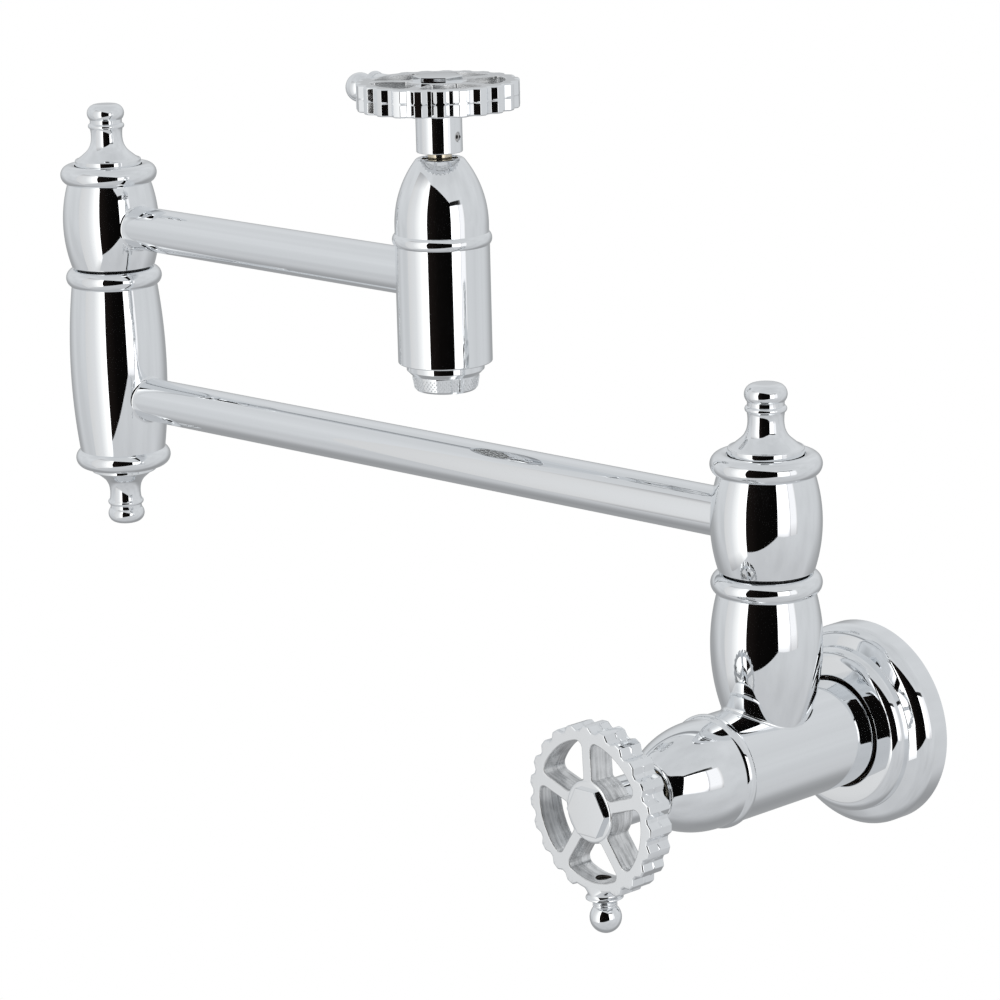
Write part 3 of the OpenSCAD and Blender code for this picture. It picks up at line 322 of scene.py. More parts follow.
def turned(outline, closed=True, around=160):
    """Rings of a turned shape about z, from its half section."""
    rings = []
    for r, z in outline:
        if r < 1e-6:
            rings.append([(0, 0, z)])
        else:
            rings.append([
                (r * cos(2 * pi * i / around), r * sin(2 * pi * i / around), z) for i in range(around)
            ])
    return rings, closed


def moved(shape, matrix):
    rings, closed = shape
    return [[tuple(matrix @ Vector(p)) for p in ring] for ring in rings], closed


def skin(bm, shape):
    """Adds the surface through a stack of rings. A ring of one point is a pole."""
    rings, closed = shape
    stack = [[bm.verts.new(p) for p in ring] for ring in rings]
    pairs = list(zip(stack, stack[1:]))
    if closed:
        pairs.append((stack[-1], stack[0]))
    for low, high in pairs:
        count = max(len(low), len(high))
        for i in range(count):
            k = (i + 1) % count
            if len(low) == 1:
                bm.faces.new((low[0], high[k], high[i]))
            elif len(high) == 1:
                bm.faces.new((low[i], low[k], high[0]))
            else:
                bm.faces.new((low[i], low[k], high[k], high[i]))


def turn(axis, angle):
    return Matrix.Rotation(radians(angle), 4, axis)


def shift(*by):
    return Matrix.Translation(by)


bright_chrome = chrome("bright chrome")


def mesh_of(bm, name, finishes=()):
    """Turns a bmesh into a mesh with its materials."""
    mesh = bpy.data.meshes.new(name)
    bm.to_mesh(mesh)
    bm.free()
    for finish in finishes:
        mesh.materials.append(finish)
    return mesh


def plain_mesh(name, shapes, place=Matrix.Identity(4), finishes=()):
    """Mesh in metres of shapes in millimetres, put in place."""
    bm = bmesh.new()
    for shape in shapes:
        skin(bm, shape)
    bmesh.ops.transform(bm, matrix=place, verts=bm.verts)
    bmesh.ops.scale(bm, vec=(mm, mm, mm), verts=bm.verts)
    bmesh.ops.recalc_face_normals(bm, faces=bm.faces)
    return mesh_of(bm, name, finishes)


def smoothed(mesh, sharp):
    """Shades a mesh smooth, but not over edges sharper than an angle in degrees."""
    for polygon in mesh.polygons:
        polygon.use_smooth = True
    mesh.set_sharp_from_angle(angle=radians(sharp))


def tie(name, mesh, body, nodes):
    """Makes a mesh a piece that rides on its body and stands for its CAD nodes, if it has any."""
    mesh.name = name
    made = placed(name, mesh)
    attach(made, body)
    if nodes:
        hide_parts(*nodes)


def piece(name, shapes, place, body, nodes, material=bright_chrome, sharp=30):
    """One finished piece from its shapes."""
    mesh = plain_mesh(name, shapes, place, [material])
    smoothed(mesh, sharp)
    tie(name, mesh, body, nodes)


out_of_wall = turn("X", 90)
barrel_r = 17.45
flange_outline = (
    eased([(30.9, 0), (33.3, 0, 0.3), (33.3, 5.5)])[:-1]
    + arc(28, 5.508, 5.3, 0, 70, 6)
    + eased([(29.81, 10.49), (27.1, 11.4, 0.25), (27.1, 13.4)], closed=False)[1:-1]
    + arc(23.5, 13.4, 3.6, 0, 90, 6)
    + eased([(23.5, 17), (18.35, 17, 0.4), (18.35, 14.4)], closed=False)[1:]
    + [(24.7, 14.4), (24.7, 8.4), (30.9, 8.4)]
)
piece("flange_shell", [turned(flange_outline, around=224)], out_of_wall, "root", ["wall_flange"])

# Flange O-ring and gasket
# Black rubber ring that grips the barrel in the flange's hole, and the foam ring behind the flange
# that seals against the wall. Both are pushed in by hand.


def soft(name, colour, rough, scale, depth, texture="ShaderNodeTexNoise"):
    """Rubber, foam or plastic: a mottled colour and a fine grain."""
    material, tree = new_material(name)
    place = on_object(tree)
    mottle = noise(tree, (-700, 150), place, scale * 0.3, 5)
    grain = node(tree, texture, (-700, -150), {"Vector": place, "Scale": scale})
    shades = [(0.3, [c * 0.8 for c in colour]), (0.7, [min(1, c * 1.15) for c in colour])]
    surface(tree, {
        "Base Color": ramp(tree, (-450, 150), mottle, shades), "Roughness": rough,
        "Normal": bump(tree, (-300, -150), grain.outputs[0], depth),
    })
    return material


def dress(material, *names):
    """Gives CAD solids whose shape is right their finish."""
    for name in names:
        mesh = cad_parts[name].data
        mesh.materials.clear()
        mesh.materials.append(material)


rubber = soft("black rubber", (0.02, 0.018, 0.017), 0.45, 2600, 0.01)
greased = soft("greased rubber", (0.035, 0.018, 0.008), 0.3, 2600, 0.01)
foam = soft("grey foam", (0.11, 0.11, 0.115), 0.9, 1500, 0.08, "ShaderNodeTexVoronoi")
slip = soft("slip ring plastic", (0.03, 0.03, 0.032), 0.35, 2200, 0.006)
piece("flange_seal", [turned(arc(18.87, 12.98, 1.4, 0, 345, 15), around=128)], out_of_wall, "root",
      ["flange_o_ring"], greased, sharp=60)
dress(foam, "wall_gasket")
dress(rubber, "lower_seat_seal", "spout_seat_seal", "lower_pivot_o_rings", "elbow_pivot_o_rings",
      "lower_stem_o_ring", "spout_stem_o_ring", "aerator_washer")
dress(slip, "lower_thrust_washer", "elbow_thrust_washer")

# Valve body
# Chromed brass casting: the barrel with the threaded inlet and the belly-shaped upright that carries
# the first arm. The two run together in a small polished fillet.


def belly_r(side, z, out=0):
    """Radius at a height of a barrel's arched side, or of a surface that far outside it."""
    widest, curve, waist = side
    return widest - curve + sqrt((curve + out) ** 2 - (z - waist) ** 2)


def belly(side, z0, z1, count=40):
    """Outline of a barrel's side, from one height to another."""
    heights = [z0 + (z1 - z0) * i / count for i in range(count + 1)]
    return [(belly_r(side, z), z) for z in heights]


def halved(low, high, beyond, steps=50):
    """The value between two at which a test begins to hold, found by halving."""
    for _ in range(steps):
        mid = (low + high) / 2
        if beyond(mid):
            high = mid
        else:
            low = mid
    return mid


def belly_meets_bead(side, bead_z, upward):
    """Direction on a bead at which the barrel's side leaves it, in degrees. Upward is 1 or -1."""
    def inside(way):
        z = bead_z + upward * bead_a * sin(radians(way))
        return belly_r(side, z) > bead_mid + bead_a * cos(radians(way))

    return upward * halved(30, 85, inside, 40)


def corner_fillet(contacts, ease):
    """A ring with a hollow face that runs from one surface to the other, from its ball centres."""
    rings = []
    for centre, on_a, on_b in contacts:
        to_a, to_b = (on_a - centre).normalized(), (on_b - centre).normalized()
        steps = 8
        section = [centre + to_a.slerp(to_b, k / steps) * ease for k in range(steps + 1)]
        section.append(on_a + on_b - centre + (to_a + to_b).normalized() * 0.35)
        rings.append([tuple(p) for p in section])
    return rings, True


bead_mid, bead_a = 13.95, 3.6
upright_side = (17.78, 66, -20.2)
column_y, column_z = -48, 56.5
column_foot = shift(0, column_y, column_z)
start = belly_meets_bead(upright_side, 0, -1)
upright_outline = (
    [(8.6, 3.5), (12.7, 3.5)] + arc(bead_mid, 0, bead_a, 103.5, start, 6)
    + belly(upright_side, bead_a * sin(radians(start)), -46)[1:] + [(8.6, -46)]
)
seat_depth = 36
barrel_outline = eased([
    (10.1, 0), (barrel_r, 0, 0.4), (barrel_r, 70.9), (11.5, 70.9),
    (11.5, seat_depth), (5.5, seat_depth), (5.5, 15), (10.1, 15),
])


def barrel_and_upright(ease):
    """Fillet between the lying barrel and the upright."""
    found = []
    widest, curve, waist = upright_side
    count = 160

    def clear(z):
        return hypot(belly_r(upright_side, z - column_z, ease) * cos(way), z) > barrel_r + ease

    for i in range(count):
        way = 2 * pi * i / count
        z = halved(5, 40, clear)
        r = belly_r(upright_side, z - column_z, ease)
        centre = Vector((r * cos(way), r * sin(way) + column_y, z))
        flat = hypot(centre.x, centre.z)
        on_barrel = Vector((centre.x * barrel_r / flat, centre.y, centre.z * barrel_r / flat))
        out_r, out_z = r - (widest - curve), z - column_z - waist
        size = hypot(out_r, out_z)
        normal = Vector((out_r / size * cos(way), out_r / size * sin(way), out_z / size))
        found.append((centre, on_barrel, centre - normal * ease))
    return corner_fillet(found, ease)


piece(
    "valve_casting",
    [
        moved(turned(barrel_outline, around=192), out_of_wall),
        moved(turned(upright_outline, around=192), column_foot),
        barrel_and_upright(0.9),
    ],
    Matrix.Identity(4), "root", ["valve_body"],
)

# Bonnets
# Brass domes, turned, polished and chromed, with a fine bead at the foot. Each screws over its
# valve's spigot and hides the cartridge. The stem comes out of the hole in the nose.
nose = 64


def dome_outline(foot_r, curve, bead_z, dome_h):
    """Half section of a dome, from its bead over the nose and back down the inside."""
    nose_edge, wall, bead_out, bead_half = 1.6, 1.8, 0.95, 2.1
    dome_r = foot_r - 0.15
    arc_z = bead_z + dome_h * 0.17
    edge_curve, edge_z = curve - nose_edge, nose - nose_edge
    edge_r = dome_r - curve + sqrt(edge_curve**2 - (edge_z - arc_z) ** 2)
    leave = degrees(asin((edge_z - arc_z) / edge_curve))
    rows = [k / 12 for k in range(-12, 13)]
    bead = [(dome_r + bead_out * (1 - abs(t) ** 2.4), bead_z + bead_half * t) for t in rows]
    inner = curve - wall
    inner_leave = degrees(asin((nose - wall - arc_z) / inner))
    return (
        [(dome_r - wall, bead_z - bead_half)] + bead + [(dome_r, arc_z)]
        + arc(dome_r - curve, arc_z, curve, 0, leave, 1.2)[1:]
        + arc(edge_r, edge_z, nose_edge, leave, 90, 8)[1:]
        + [(6.4, nose), (6.1, nose - 0.3), (6.1, nose - wall)]
        + list(reversed(arc(dome_r - curve, arc_z, inner, 0, inner_leave, 4)))
    )


lower_seat = shift(0, -seat_depth, 0) @ out_of_wall
upper_arm_turn, spout_floor = 3.5, -24.2
spout_axis = shift(-128.818, -67.609, 140.1) @ turn("Z", upper_arm_turn)
spout_seat = spout_axis @ shift(0, 0, spout_floor)
piece("lower_dome", [turned(dome_outline(17.45, 38, 36.5, 27.5), around=192)], lower_seat, "root",
      ["lower_bonnet"])
piece("spout_dome", [turned(dome_outline(15.75, 35.4, 37.2, 26.8), around=192)], spout_seat,
      "upper_arm", ["spout_bonnet"])

# Cartridges, pivots and nuts
# Machined brass cartridges with ceramic discs, hollow brass spindles, their washers and nuts.
# They are screwed in and sealed inside the casting, so only a repair shows them.


def machined(name, colour, rough, groove):
    """Bare metal off the lathe: fine tool marks and a slightly cloudy shine."""
    material, tree = new_material(name)
    place = on_object(tree)
    cloud = noise(tree, (-700, 150), place, 180, 5)
    marks = node(tree, "ShaderNodeTexWave", (-700, -150), {
        "Vector": place, "Scale": 900, "Distortion": 0.6,
    }, bands_direction="Z")
    shades = [(0.3, [c * 0.85 for c in colour]), (0.7, colour)]
    surface(tree, {
        "Base Color": ramp(tree, (-450, 150), cloud, shades), "Metallic": 1, "Roughness": rough,
        "Normal": bump(tree, (-300, -150), marks.outputs["Fac"], groove),
    })
    return material


bare_brass = machined("bare brass", (0.78, 0.56, 0.3), 0.28, 0.004)
steel = machined("stainless steel", (0.62, 0.61, 0.6), 0.25, 0.003)
plated_stem = machined("brass stem", (0.74, 0.66, 0.52), 0.16, 0.003)
ceramic = soft("white ceramic", (0.85, 0.85, 0.83), 0.15, 3000, 0.001)
dress(bare_brass, "lower_cartridge", "spout_cartridge", "lower_pivot", "elbow_pivot",
      "lower_retaining_washer", "elbow_retaining_washer", "lower_retaining_nut", "elbow_retaining_nut")
dress(plated_stem, "lower_stem", "spout_stem")
dress(steel, "lower_stem_clip", "spout_stem_clip", "lower_set_screw", "spout_set_screw",
      "lower_knob_screw", "spout_knob_screw")
dress(ceramic, "lower_fixed_disc", "lower_moving_disc", "spout_fixed_disc", "spout_moving_disc")

# Swivel barrels
# Short belly-shaped brass turnings with a bead at the top, one at the wall and one on the elbow.
# Each drops over its spindle, and its arm is brazed in with a small polished fillet.
tube_r, tube_z, top_bead, barrel_top = 7.9, 19.6, 38.1, 39.1
swivel_side = (17.55, 51, tube_z)


def arm_root(side, height, ease, along=1):
    """Fillet between an arm tube along x and the barrel that it leaves."""
    widest, curve, waist = side
    found = []
    count = 128
    for i in range(count):
        way = 2 * pi * i / count
        y, z = (tube_r + ease) * cos(way), height + (tube_r + ease) * sin(way)
        out_z = z - waist
        x = halved(3, 30, lambda x: hypot(hypot(x, y) - (widest - curve), out_z) > curve + ease)
        flat = hypot(x, y)
        out_r = flat - (widest - curve)
        size = hypot(out_r, out_z)
        normal = Vector((out_r / size * x / flat, out_r / size * y / flat, out_z / size))
        centre = Vector((x, y, z))
        on_tube = Vector((x, tube_r * cos(way), height + tube_r * sin(way)))
        contact = (centre, on_tube, centre - normal * ease)
        found.append([Vector((p.x * along, p.y, p.z)) for p in contact])
    return corner_fillet(found, ease)


leave = belly_meets_bead(swivel_side, top_bead, -1)
swivel_outline = (
    eased([(9.56, 4.2), (15.17, 4.2, 0.25), (15.25, 4.6)], closed=False)[:-1]
    + belly(swivel_side, 4.6, top_bead + bead_a * sin(radians(leave)))
    + arc(bead_mid, top_bead, bead_a, leave, 115.5, 6)[1:]
    + [(12.4, barrel_top), (11.2, barrel_top), (11.2, 33), (9.56, 33)]
)
lower_arm_turn = 185.7
elbow_place = shift(-303.492, -78.293, 120.5)
wall_column = column_foot @ turn("Z", lower_arm_turn)
elbow_lower = elbow_place @ turn("Z", lower_arm_turn)
elbow_upper = elbow_place @ turn("Z", upper_arm_turn)
swivel_shapes = [turned(swivel_outline, around=192), arm_root(swivel_side, tube_z, 1.1)]
piece("lower_swivel", swivel_shapes, wall_column, "lower_arm", ["lower_swivel_barrel"])
piece("upper_swivel", swivel_shapes, elbow_upper, "upper_arm", ["upper_swivel_barrel"])

# Finials
# Solid brass turnings, polished and chromed: a disc, a bell that draws in to a slim neck, a collar
# and a flattened knob. Each screws into the barrel's recess as a cap.
finial_outline = (
    [(0, -1), (11, -1), (11, 0)]
    + eased([(11, 0), (12, 0, 0.15), (12, 4.4, 0.35), (11.3, 4.4), (10, 5)], closed=False)[1:-2]
)
neck = [
    (11.3, 4.45), (10.3, 5.1), (9.3, 5.9), (8.05, 6.95), (7.1, 7.95), (6.5, 8.95), (6.1, 9.9),
    (5.85, 10.9), (5.72, 11.9), (5.68, 12.9), (5.72, 13.9), (5.8, 14.7), (5.95, 15.4), (6.15, 15.9),
]
knob = (
    arc(5.55, 16.5, 1.05, -40, 75, 10) + [(5.8, 17.65), (5.8, 17.75)]
    + arc(3.45, 21.1, 3.3, -43, 90, 6) + [(1.7, 24.4), (0, 24.4)]
)


def smooth_through(points, per=5):
    """More points on a smooth curve through the given ones."""
    made = []
    for i in range(len(points) - 1):
        p0, p1, p2, p3 = (Vector(points[max(0, min(len(points) - 1, i + k))]) for k in (-1, 0, 1, 2))
        for j in range(per):
            t = j / per
            made.append(tuple(0.5 * (
                2 * p1 + (p2 - p0) * t + (2 * p0 - 5 * p1 + 4 * p2 - p3) * t * t
                + (3 * p1 - p0 - 3 * p2 + p3) * t**3
            )))
    return made + [tuple(points[-1])]


finial_shape = turned(finial_outline + smooth_through(neck) + knob, closed=False)
piece("wall_finial", [finial_shape], wall_column @ shift(0, 0, barrel_top), "lower_arm", ["lower_finial"])
piece("elbow_top_finial", [finial_shape], elbow_upper @ shift(0, 0, barrel_top), "upper_arm",
      ["upper_finial"])
low_bead, elbow_foot = -68, -69
piece("elbow_foot_finial", [finial_shape], elbow_lower @ shift(0, 0, elbow_foot) @ turn("X", 180),
      "lower_arm", ["elbow_bottom_finial"])

# Arm tubes
# Drawn brass tube, polished along its length and chromed, brazed into the barrels at both ends.


def arm(name, length, far_in, place, body, nodes):
    """Tube between two axes, which starts and ends inside the walls of its barrels."""
    near_in, bore_r = 12, 6.7
    end = length - near_in - far_in
    tube = turned([(tube_r, 0), (tube_r, end), (bore_r, end), (bore_r, 0)], around=128)
    piece(name, [moved(tube, shift(near_in, 0, tube_z) @ turn("Y", 90))], place, body, nodes)


arm("long_arm", 305, 12, wall_column, "lower_arm", ["lower_arm_tube"])
arm("short_arm", 175, 11.6, elbow_upper, "upper_arm", ["upper_arm_tube"])

# Elbow barrel
# Long brass barrel with a bead at each end, which joins the two arms. The first arm is brazed into
# it low down, and the second turns on top of it.
elbow_side = (17.75, 235, -34)
leave = belly_meets_bead(elbow_side, 0, -1)
arrive = belly_meets_bead(elbow_side, low_bead, 1)
elbow_outline = (
    [(8.6, 3.5), (12.7, 3.5)] + arc(bead_mid, 0, bead_a, 103.5, leave, 6)
    + belly(elbow_side, bead_a * sin(radians(leave)), low_bead + bead_a * sin(radians(arrive)), 60)[1:-1]
    + arc(bead_mid, low_bead, bead_a, arrive, -115.5, 6)
    + [(12.4, elbow_foot), (11.2, elbow_foot), (11.2, -65.8), (8.6, -65.8)]
)
first_arm_z = -44.4
piece(
    "elbow_casting",
    [turned(elbow_outline, around=192), arm_root(elbow_side, first_arm_z, 1.2, -1)],
    elbow_lower, "lower_arm", ["elbow_barrel"],
)

# Spout
# Straight brass spout that hangs from the second arm, with the second valve's seat in its floor.
# Below it a short tapered collar takes the aerator's thread.
spout_r, spout_foot, straight = 15.75, -32.5, 1e5
spout_outline = (
    [(11.5, 11.4), (spout_r, 11.4)]
    + eased([
        (spout_r, 11), (spout_r, -28.5, 0.45), (13, -28.5), (13, -30.9, 0.3),
        (11.4, spout_foot, 0.2), (10.4, spout_foot),
    ], closed=False)
    + [(10.4, -26.2), (4.5, -26.2), (4.5, spout_floor), (11.5, spout_floor)]
)
piece(
    "spout_tube",
    [turned(spout_outline, around=192), arm_root((spout_r, straight, 0), 0, 0.9, -1)],
    spout_axis, "upper_arm", ["spout_body"],
)

# Aerator
# Chromed brass ring with a knurled taper, screwed up under the collar. Inside are a rubber washer,
# a steel screen and a white plastic insert with a pattern of holes.
aerator_foot = spout_axis @ shift(0, 0, spout_foot)
housing_outline = eased([
    (8.7, 5.3), (10.3, 5.3, 0.2), (10.3, 0.05), (11.2, 0.05, 0.15), (11.1, -0.6),
    (10.4, -4.6), (9.8, -5.3, 0.3), (8.2, -5.3, 0.2), (8.2, -4.1), (8.7, -4.1),
])


def baked(holder):
    """The plain mesh that an object's modifiers make. The object itself goes."""
    depsgraph = bpy.context.evaluated_depsgraph_get()
    result = bpy.data.meshes.new_from_object(holder.evaluated_get(depsgraph))
    holder.modifiers.clear()
    bpy.data.objects.remove(holder)
    return result


def new_tree(name, inputs):
    """A geometry tree that takes a mesh and named values, and the sockets that give them."""
    tree = bpy.data.node_groups.new(name, "GeometryNodeTree")
    tree.is_modifier = True
    for way in ("INPUT", "OUTPUT"):
        tree.interface.new_socket("Geometry", in_out=way, socket_type="NodeSocketGeometry")
    for label, kind in inputs.items():
        tree.interface.new_socket(label, in_out="INPUT", socket_type="NodeSocket" + kind)
    return tree, node(tree, "NodeGroupInput", (-1400, 0)).outputs


def maths(tree, kind, a, b=None, place=(0, 0)):
    """Adds arithmetic on one or two values or sockets."""
    sockets = {0: a} if b is None else {0: a, 1: b}
    return node(tree, "ShaderNodeMath", place, sockets, operation=kind).outputs[0]


def end_tree(tree, geometry, finish):
    """Ends a tree: its instances become plain geometry with one material."""
    real = node(tree, "GeometryNodeRealizeInstances", (800, 100), {0: geometry})
    dressed = node(tree, "GeometryNodeSetMaterial", (1000, 100), {0: real.outputs[0], "Material": finish})
    node(tree, "NodeGroupOutput", (1200, 100), {0: dressed.outputs[0]})
    return tree


def worked(mesh, tree, values):
    """The mesh that a geometry tree makes of the given one, as plain geometry."""
    holder = placed("holder", mesh)
    modifier = holder.modifiers.new(tree.name, "NODES")
    modifier.node_group = tree
    names = {s.name: s.identifier for s in tree.interface.items_tree if s.item_type == "SOCKET"}
    for name, value in values.items():
        modifier[names[name]] = value
    return baked(holder)


def knurl_tree():
    """Places a small stud many times round a tapered ring, in staggered rows."""
    tree, given = new_tree("Knurl", {
        "Studs in a row": "Int", "Rows": "Int", "Top radius": "Float", "Foot radius": "Float",
        "Height": "Float", "First row": "Float", "Stud": "Float", "Finish": "Material",
    })
    in_row, top_r = given["Studs in a row"], given["Top radius"]
    total = maths(tree, "MULTIPLY", in_row, given["Rows"], (-1150, 300))
    spots = node(tree, "GeometryNodeMeshLine", (-950, 300), {"Count": total})
    index = node(tree, "GeometryNodeInputIndex", (-1150, 0)).outputs[0]
    row = maths(tree, "FLOOR", maths(tree, "DIVIDE", index, in_row, (-950, 0)), place=(-750, 0))
    step = maths(tree, "DIVIDE", 2 * pi, in_row, (-550, -100))
    stagger = maths(tree, "MULTIPLY", row, 0.5, (-550, 50))
    way = maths(tree, "MULTIPLY", maths(tree, "ADD", index, stagger, (-350, 50)), step, (-150, 50))
    gaps = maths(tree, "SUBTRACT", given["Rows"], 1, (-750, -150))
    share = maths(tree, "DIVIDE", row, gaps, (-550, -250))
    taper = maths(tree, "SUBTRACT", given["Foot radius"], top_r, (-750, -350))
    radius = maths(tree, "ADD", top_r, maths(tree, "MULTIPLY", share, taper, (-350, -350)), (-150, -300))
    depth = maths(tree, "MULTIPLY", given["Height"], -1, (-750, -500))
    down = maths(tree, "MULTIPLY", share, depth, (-350, -500))
    spot = node(tree, "ShaderNodeCombineXYZ", (250, 0), {
        0: maths(tree, "MULTIPLY", radius, maths(tree, "COSINE", way, place=(50, 100)), (150, 100)),
        1: maths(tree, "MULTIPLY", radius, maths(tree, "SINE", way, place=(50, -100)), (150, -100)),
        2: maths(tree, "SUBTRACT", down, given["First row"], (-150, -500)),
    })
    put = node(tree, "GeometryNodeSetPosition", (400, 200), {
        "Geometry": spots.outputs[0], "Position": spot.outputs[0],
    })
    stud = node(tree, "GeometryNodeMeshIcoSphere", (400, -100), {
        "Subdivisions": 2, "Radius": given["Stud"],
    })
    studs = node(tree, "GeometryNodeInstanceOnPoints", (550, 200), {
        "Points": put.outputs[0], "Instance": stud.outputs[0],
    })
    both = node(tree, "GeometryNodeJoinGeometry", (700, 50))
    tree.links.new(studs.outputs[0], both.inputs[0])
    tree.links.new(given["Geometry"], both.inputs[0])
    return end_tree(tree, both.outputs[0], given["Finish"])


def in_metres(matrix):
    made = matrix.copy()
    made.translation = made.translation * mm
    return made


knurled = worked(plain_mesh("ring", [turned(housing_outline)]), knurl_tree(), {
    "Studs in a row": 50, "Rows": 5, "Top radius": 10.98 * mm, "Foot radius": 10.45 * mm,
    "Height": 3 * mm, "First row": 1.1 * mm, "Stud": 0.3 * mm, "Finish": bright_chrome,
})
knurled.transform(in_metres(aerator_foot))
smoothed(knurled, 30)
tie("aerator_ring", knurled, "upper_arm", ["aerator_housing"])
insert_plastic = soft("white plastic", (0.82, 0.82, 0.8), 0.4, 2000, 0.004)
dress(insert_plastic, "aerator_insert")
dress(steel, "aerator_screen")

# Inlet thread
# The half-inch pipe thread inside the valve body's inlet, cut in the brass before plating. It only
# shows from the wall's side. One round-crested ridge winds in from the mouth.


def thread_tree():
    """Winds a ridge round the inside of a bore."""
    tree, given = new_tree("Thread", {
        "Bore radius": "Float", "Pitch": "Float", "Turns": "Float", "Ridge": "Float", "Finish": "Material",
    })
    winding = node(tree, "GeometryNodeCurveSpiral", (-450, 150), {
        "Resolution": 64, "Rotations": given["Turns"], "Start Radius": given["Bore radius"],
        "End Radius": given["Bore radius"],
        "Height": maths(tree, "MULTIPLY", given["Pitch"], given["Turns"], (-700, 200)),
    })
    section = node(tree, "GeometryNodeCurvePrimitiveCircle", (-450, -150), {
        "Resolution": 12, "Radius": given["Ridge"],
    })
    ridge = node(tree, "GeometryNodeCurveToMesh", (-200, 50), {
        "Curve": winding.outputs[0], "Profile Curve": section.outputs[0], "Fill Caps": True,
    })
    return end_tree(tree, ridge.outputs[0], given["Finish"])


threaded = worked(bpy.data.meshes.new("bore"), thread_tree(), {
    "Bore radius": 10.15 * mm, "Pitch": 1.81 * mm, "Turns": 7.0, "Ridge": 0.75 * mm,
    "Finish": bright_chrome,
})
threaded.transform(in_metres(out_of_wall @ shift(0, 0, 1.1)))
smoothed(threaded, 60)
tie("inlet_thread", threaded, "root", [])

# Handwheels
# Die-cast zinc, tumbled, polished and chromed: a toothed rim, five spokes, a hub and a sleeve in one
# piece. The windows between the spokes draw in to a parting line half way through.
places, teeth = 23, 21
rim_r, tip_r, face_r, rim_half, rim_inner_r, hub_r = 25.4, 26.85, 24.3, 4.5, 22.2, 9.9
rim_ease, window_ease = 0.6, 0.38
land_half, floor_half = 1.12, 0.66
half_pitch = pi / places
spokes, spoke_half, spoke_pitch = 5, 1.9, 72
wheel_chrome = chrome("cast chrome", ripple=0.03, grain=0.0004, haze=0.04)
# The screw hole's walls are raw zinc, but painted nearly black: the dark is painted shade inside the hole.
zinc_and_hole_shade = machined("raw zinc darkened as painted hole shade", (0.07, 0.062, 0.055), 0.5, 0.006)


def brushed(name):
    """Chrome over a wall that was only filed: streaks that run along it, level with the wheel."""
    material, tree = new_material(name)
    across = node(tree, "ShaderNodeUVMap", (-1000, 0), uv_map="flat").outputs[0]
    place = on_object(tree)
    streaks = noise(tree, (-750, 100), across, 900, 5)
    cloud = noise(tree, (-750, -250), place, 260, 4)
    both = node(tree, "ShaderNodeMix", (-550, 0), {
        "Factor": 0.35, "A": streaks, "B": cloud,
    }, data_type="FLOAT")
    shades = [(0.36, (0.46, 0.465, 0.47)), (0.5, (0.74, 0.745, 0.75)), (0.62, (0.9, 0.905, 0.91))]
    surface(tree, {
        "Base Color": ramp(tree, (-350, 150), both.outputs["Result"], shades), "Metallic": 1,
        "Roughness": 0.27, "Normal": bump(tree, (-350, -200), streaks, 0.006),
    })
    return material


satin = brushed("filed chrome")
wheel_finishes = (wheel_chrome, satin, zinc_and_hole_shade)


def rim_levels(ease, draw=0.0):
    """Heights through the rim with how far the wall stands back there, edges eased."""
    edge = [(ease * (1 - sin(radians(a))), ease * (1 - cos(radians(a)))) for a in (90, 72, 54, 36, 18, 0)]
    low = [(-rim_half + up, back) for up, back in edge] + [(-2.2, 0), (-0.55, 0), (-0.3, 0), (-0.12, 0)]
    levels = low + [(0, 0)] + [(-z, back) for z, back in reversed(low)]
    return [(z, back - draw * (1 - abs(z) / rim_half)) for z, back in levels]


def tooth_half(z, back):
    """Half of a tooth's outline at a height, from the middle of its land into the groove."""
    flare = max(0, 1 - abs(z) / 0.55)
    land = land_half + 0.5 * flare**1.2
    floor = half_pitch * rim_r - floor_half
    slope = atan2(tip_r - rim_r, floor - land)
    slide = back * sin(slope / 2) / cos(slope / 2)
    low = rim_r + 0.1 * flare - back
    outline = eased([
        (land * 0.4, tip_r - back), (land - slide, tip_r - back, 0.4), (floor - slide, low, 0.3),
        (half_pitch * rim_r - 0.15, low),
    ], closed=False, count=5, beside=0.06)
    return [(0, tip_r - back)] + outline + [(half_pitch * rim_r, low)]


def rim_sector(toothed):
    """Outer wall and face edge of one place on the rim, from groove to groove, as rows of points."""
    rows = []
    for z, back in rim_levels(rim_ease):
        half = tooth_half(z, back)
        if not toothed:
            half = [(a, half[-1][1]) for a, _ in half]
        outline = [(-a, r) for a, r in reversed(half[1:])] + half
        rows.append([(r * cos(a / rim_r), r * sin(a / rim_r), z) for a, r in outline])
    face = [(face_r * cos(w), face_r * sin(w)) for w in sector_ways]
    return [[(x, y, -rim_half) for x, y in face]] + rows + [[(x, y, rim_half) for x, y in face]]


half_ways = [a / rim_r for a, _ in tooth_half(-rim_half, rim_ease)]
sector_ways = [-w for w in reversed(half_ways[1:])] + half_ways


def sheet_mesh(name, rows):
    """Open sheet of quads through rows of points, in metres."""
    width = len(rows[0])
    mesh = bpy.data.meshes.new(name)
    mesh.from_pydata(
        [[v * mm for v in p] for row in rows for p in row], [],
        [(k * width + i, k * width + i + 1, (k + 1) * width + i + 1, (k + 1) * width + i)
         for k in range(len(rows) - 1) for i in range(width - 1)],
    )
    return mesh


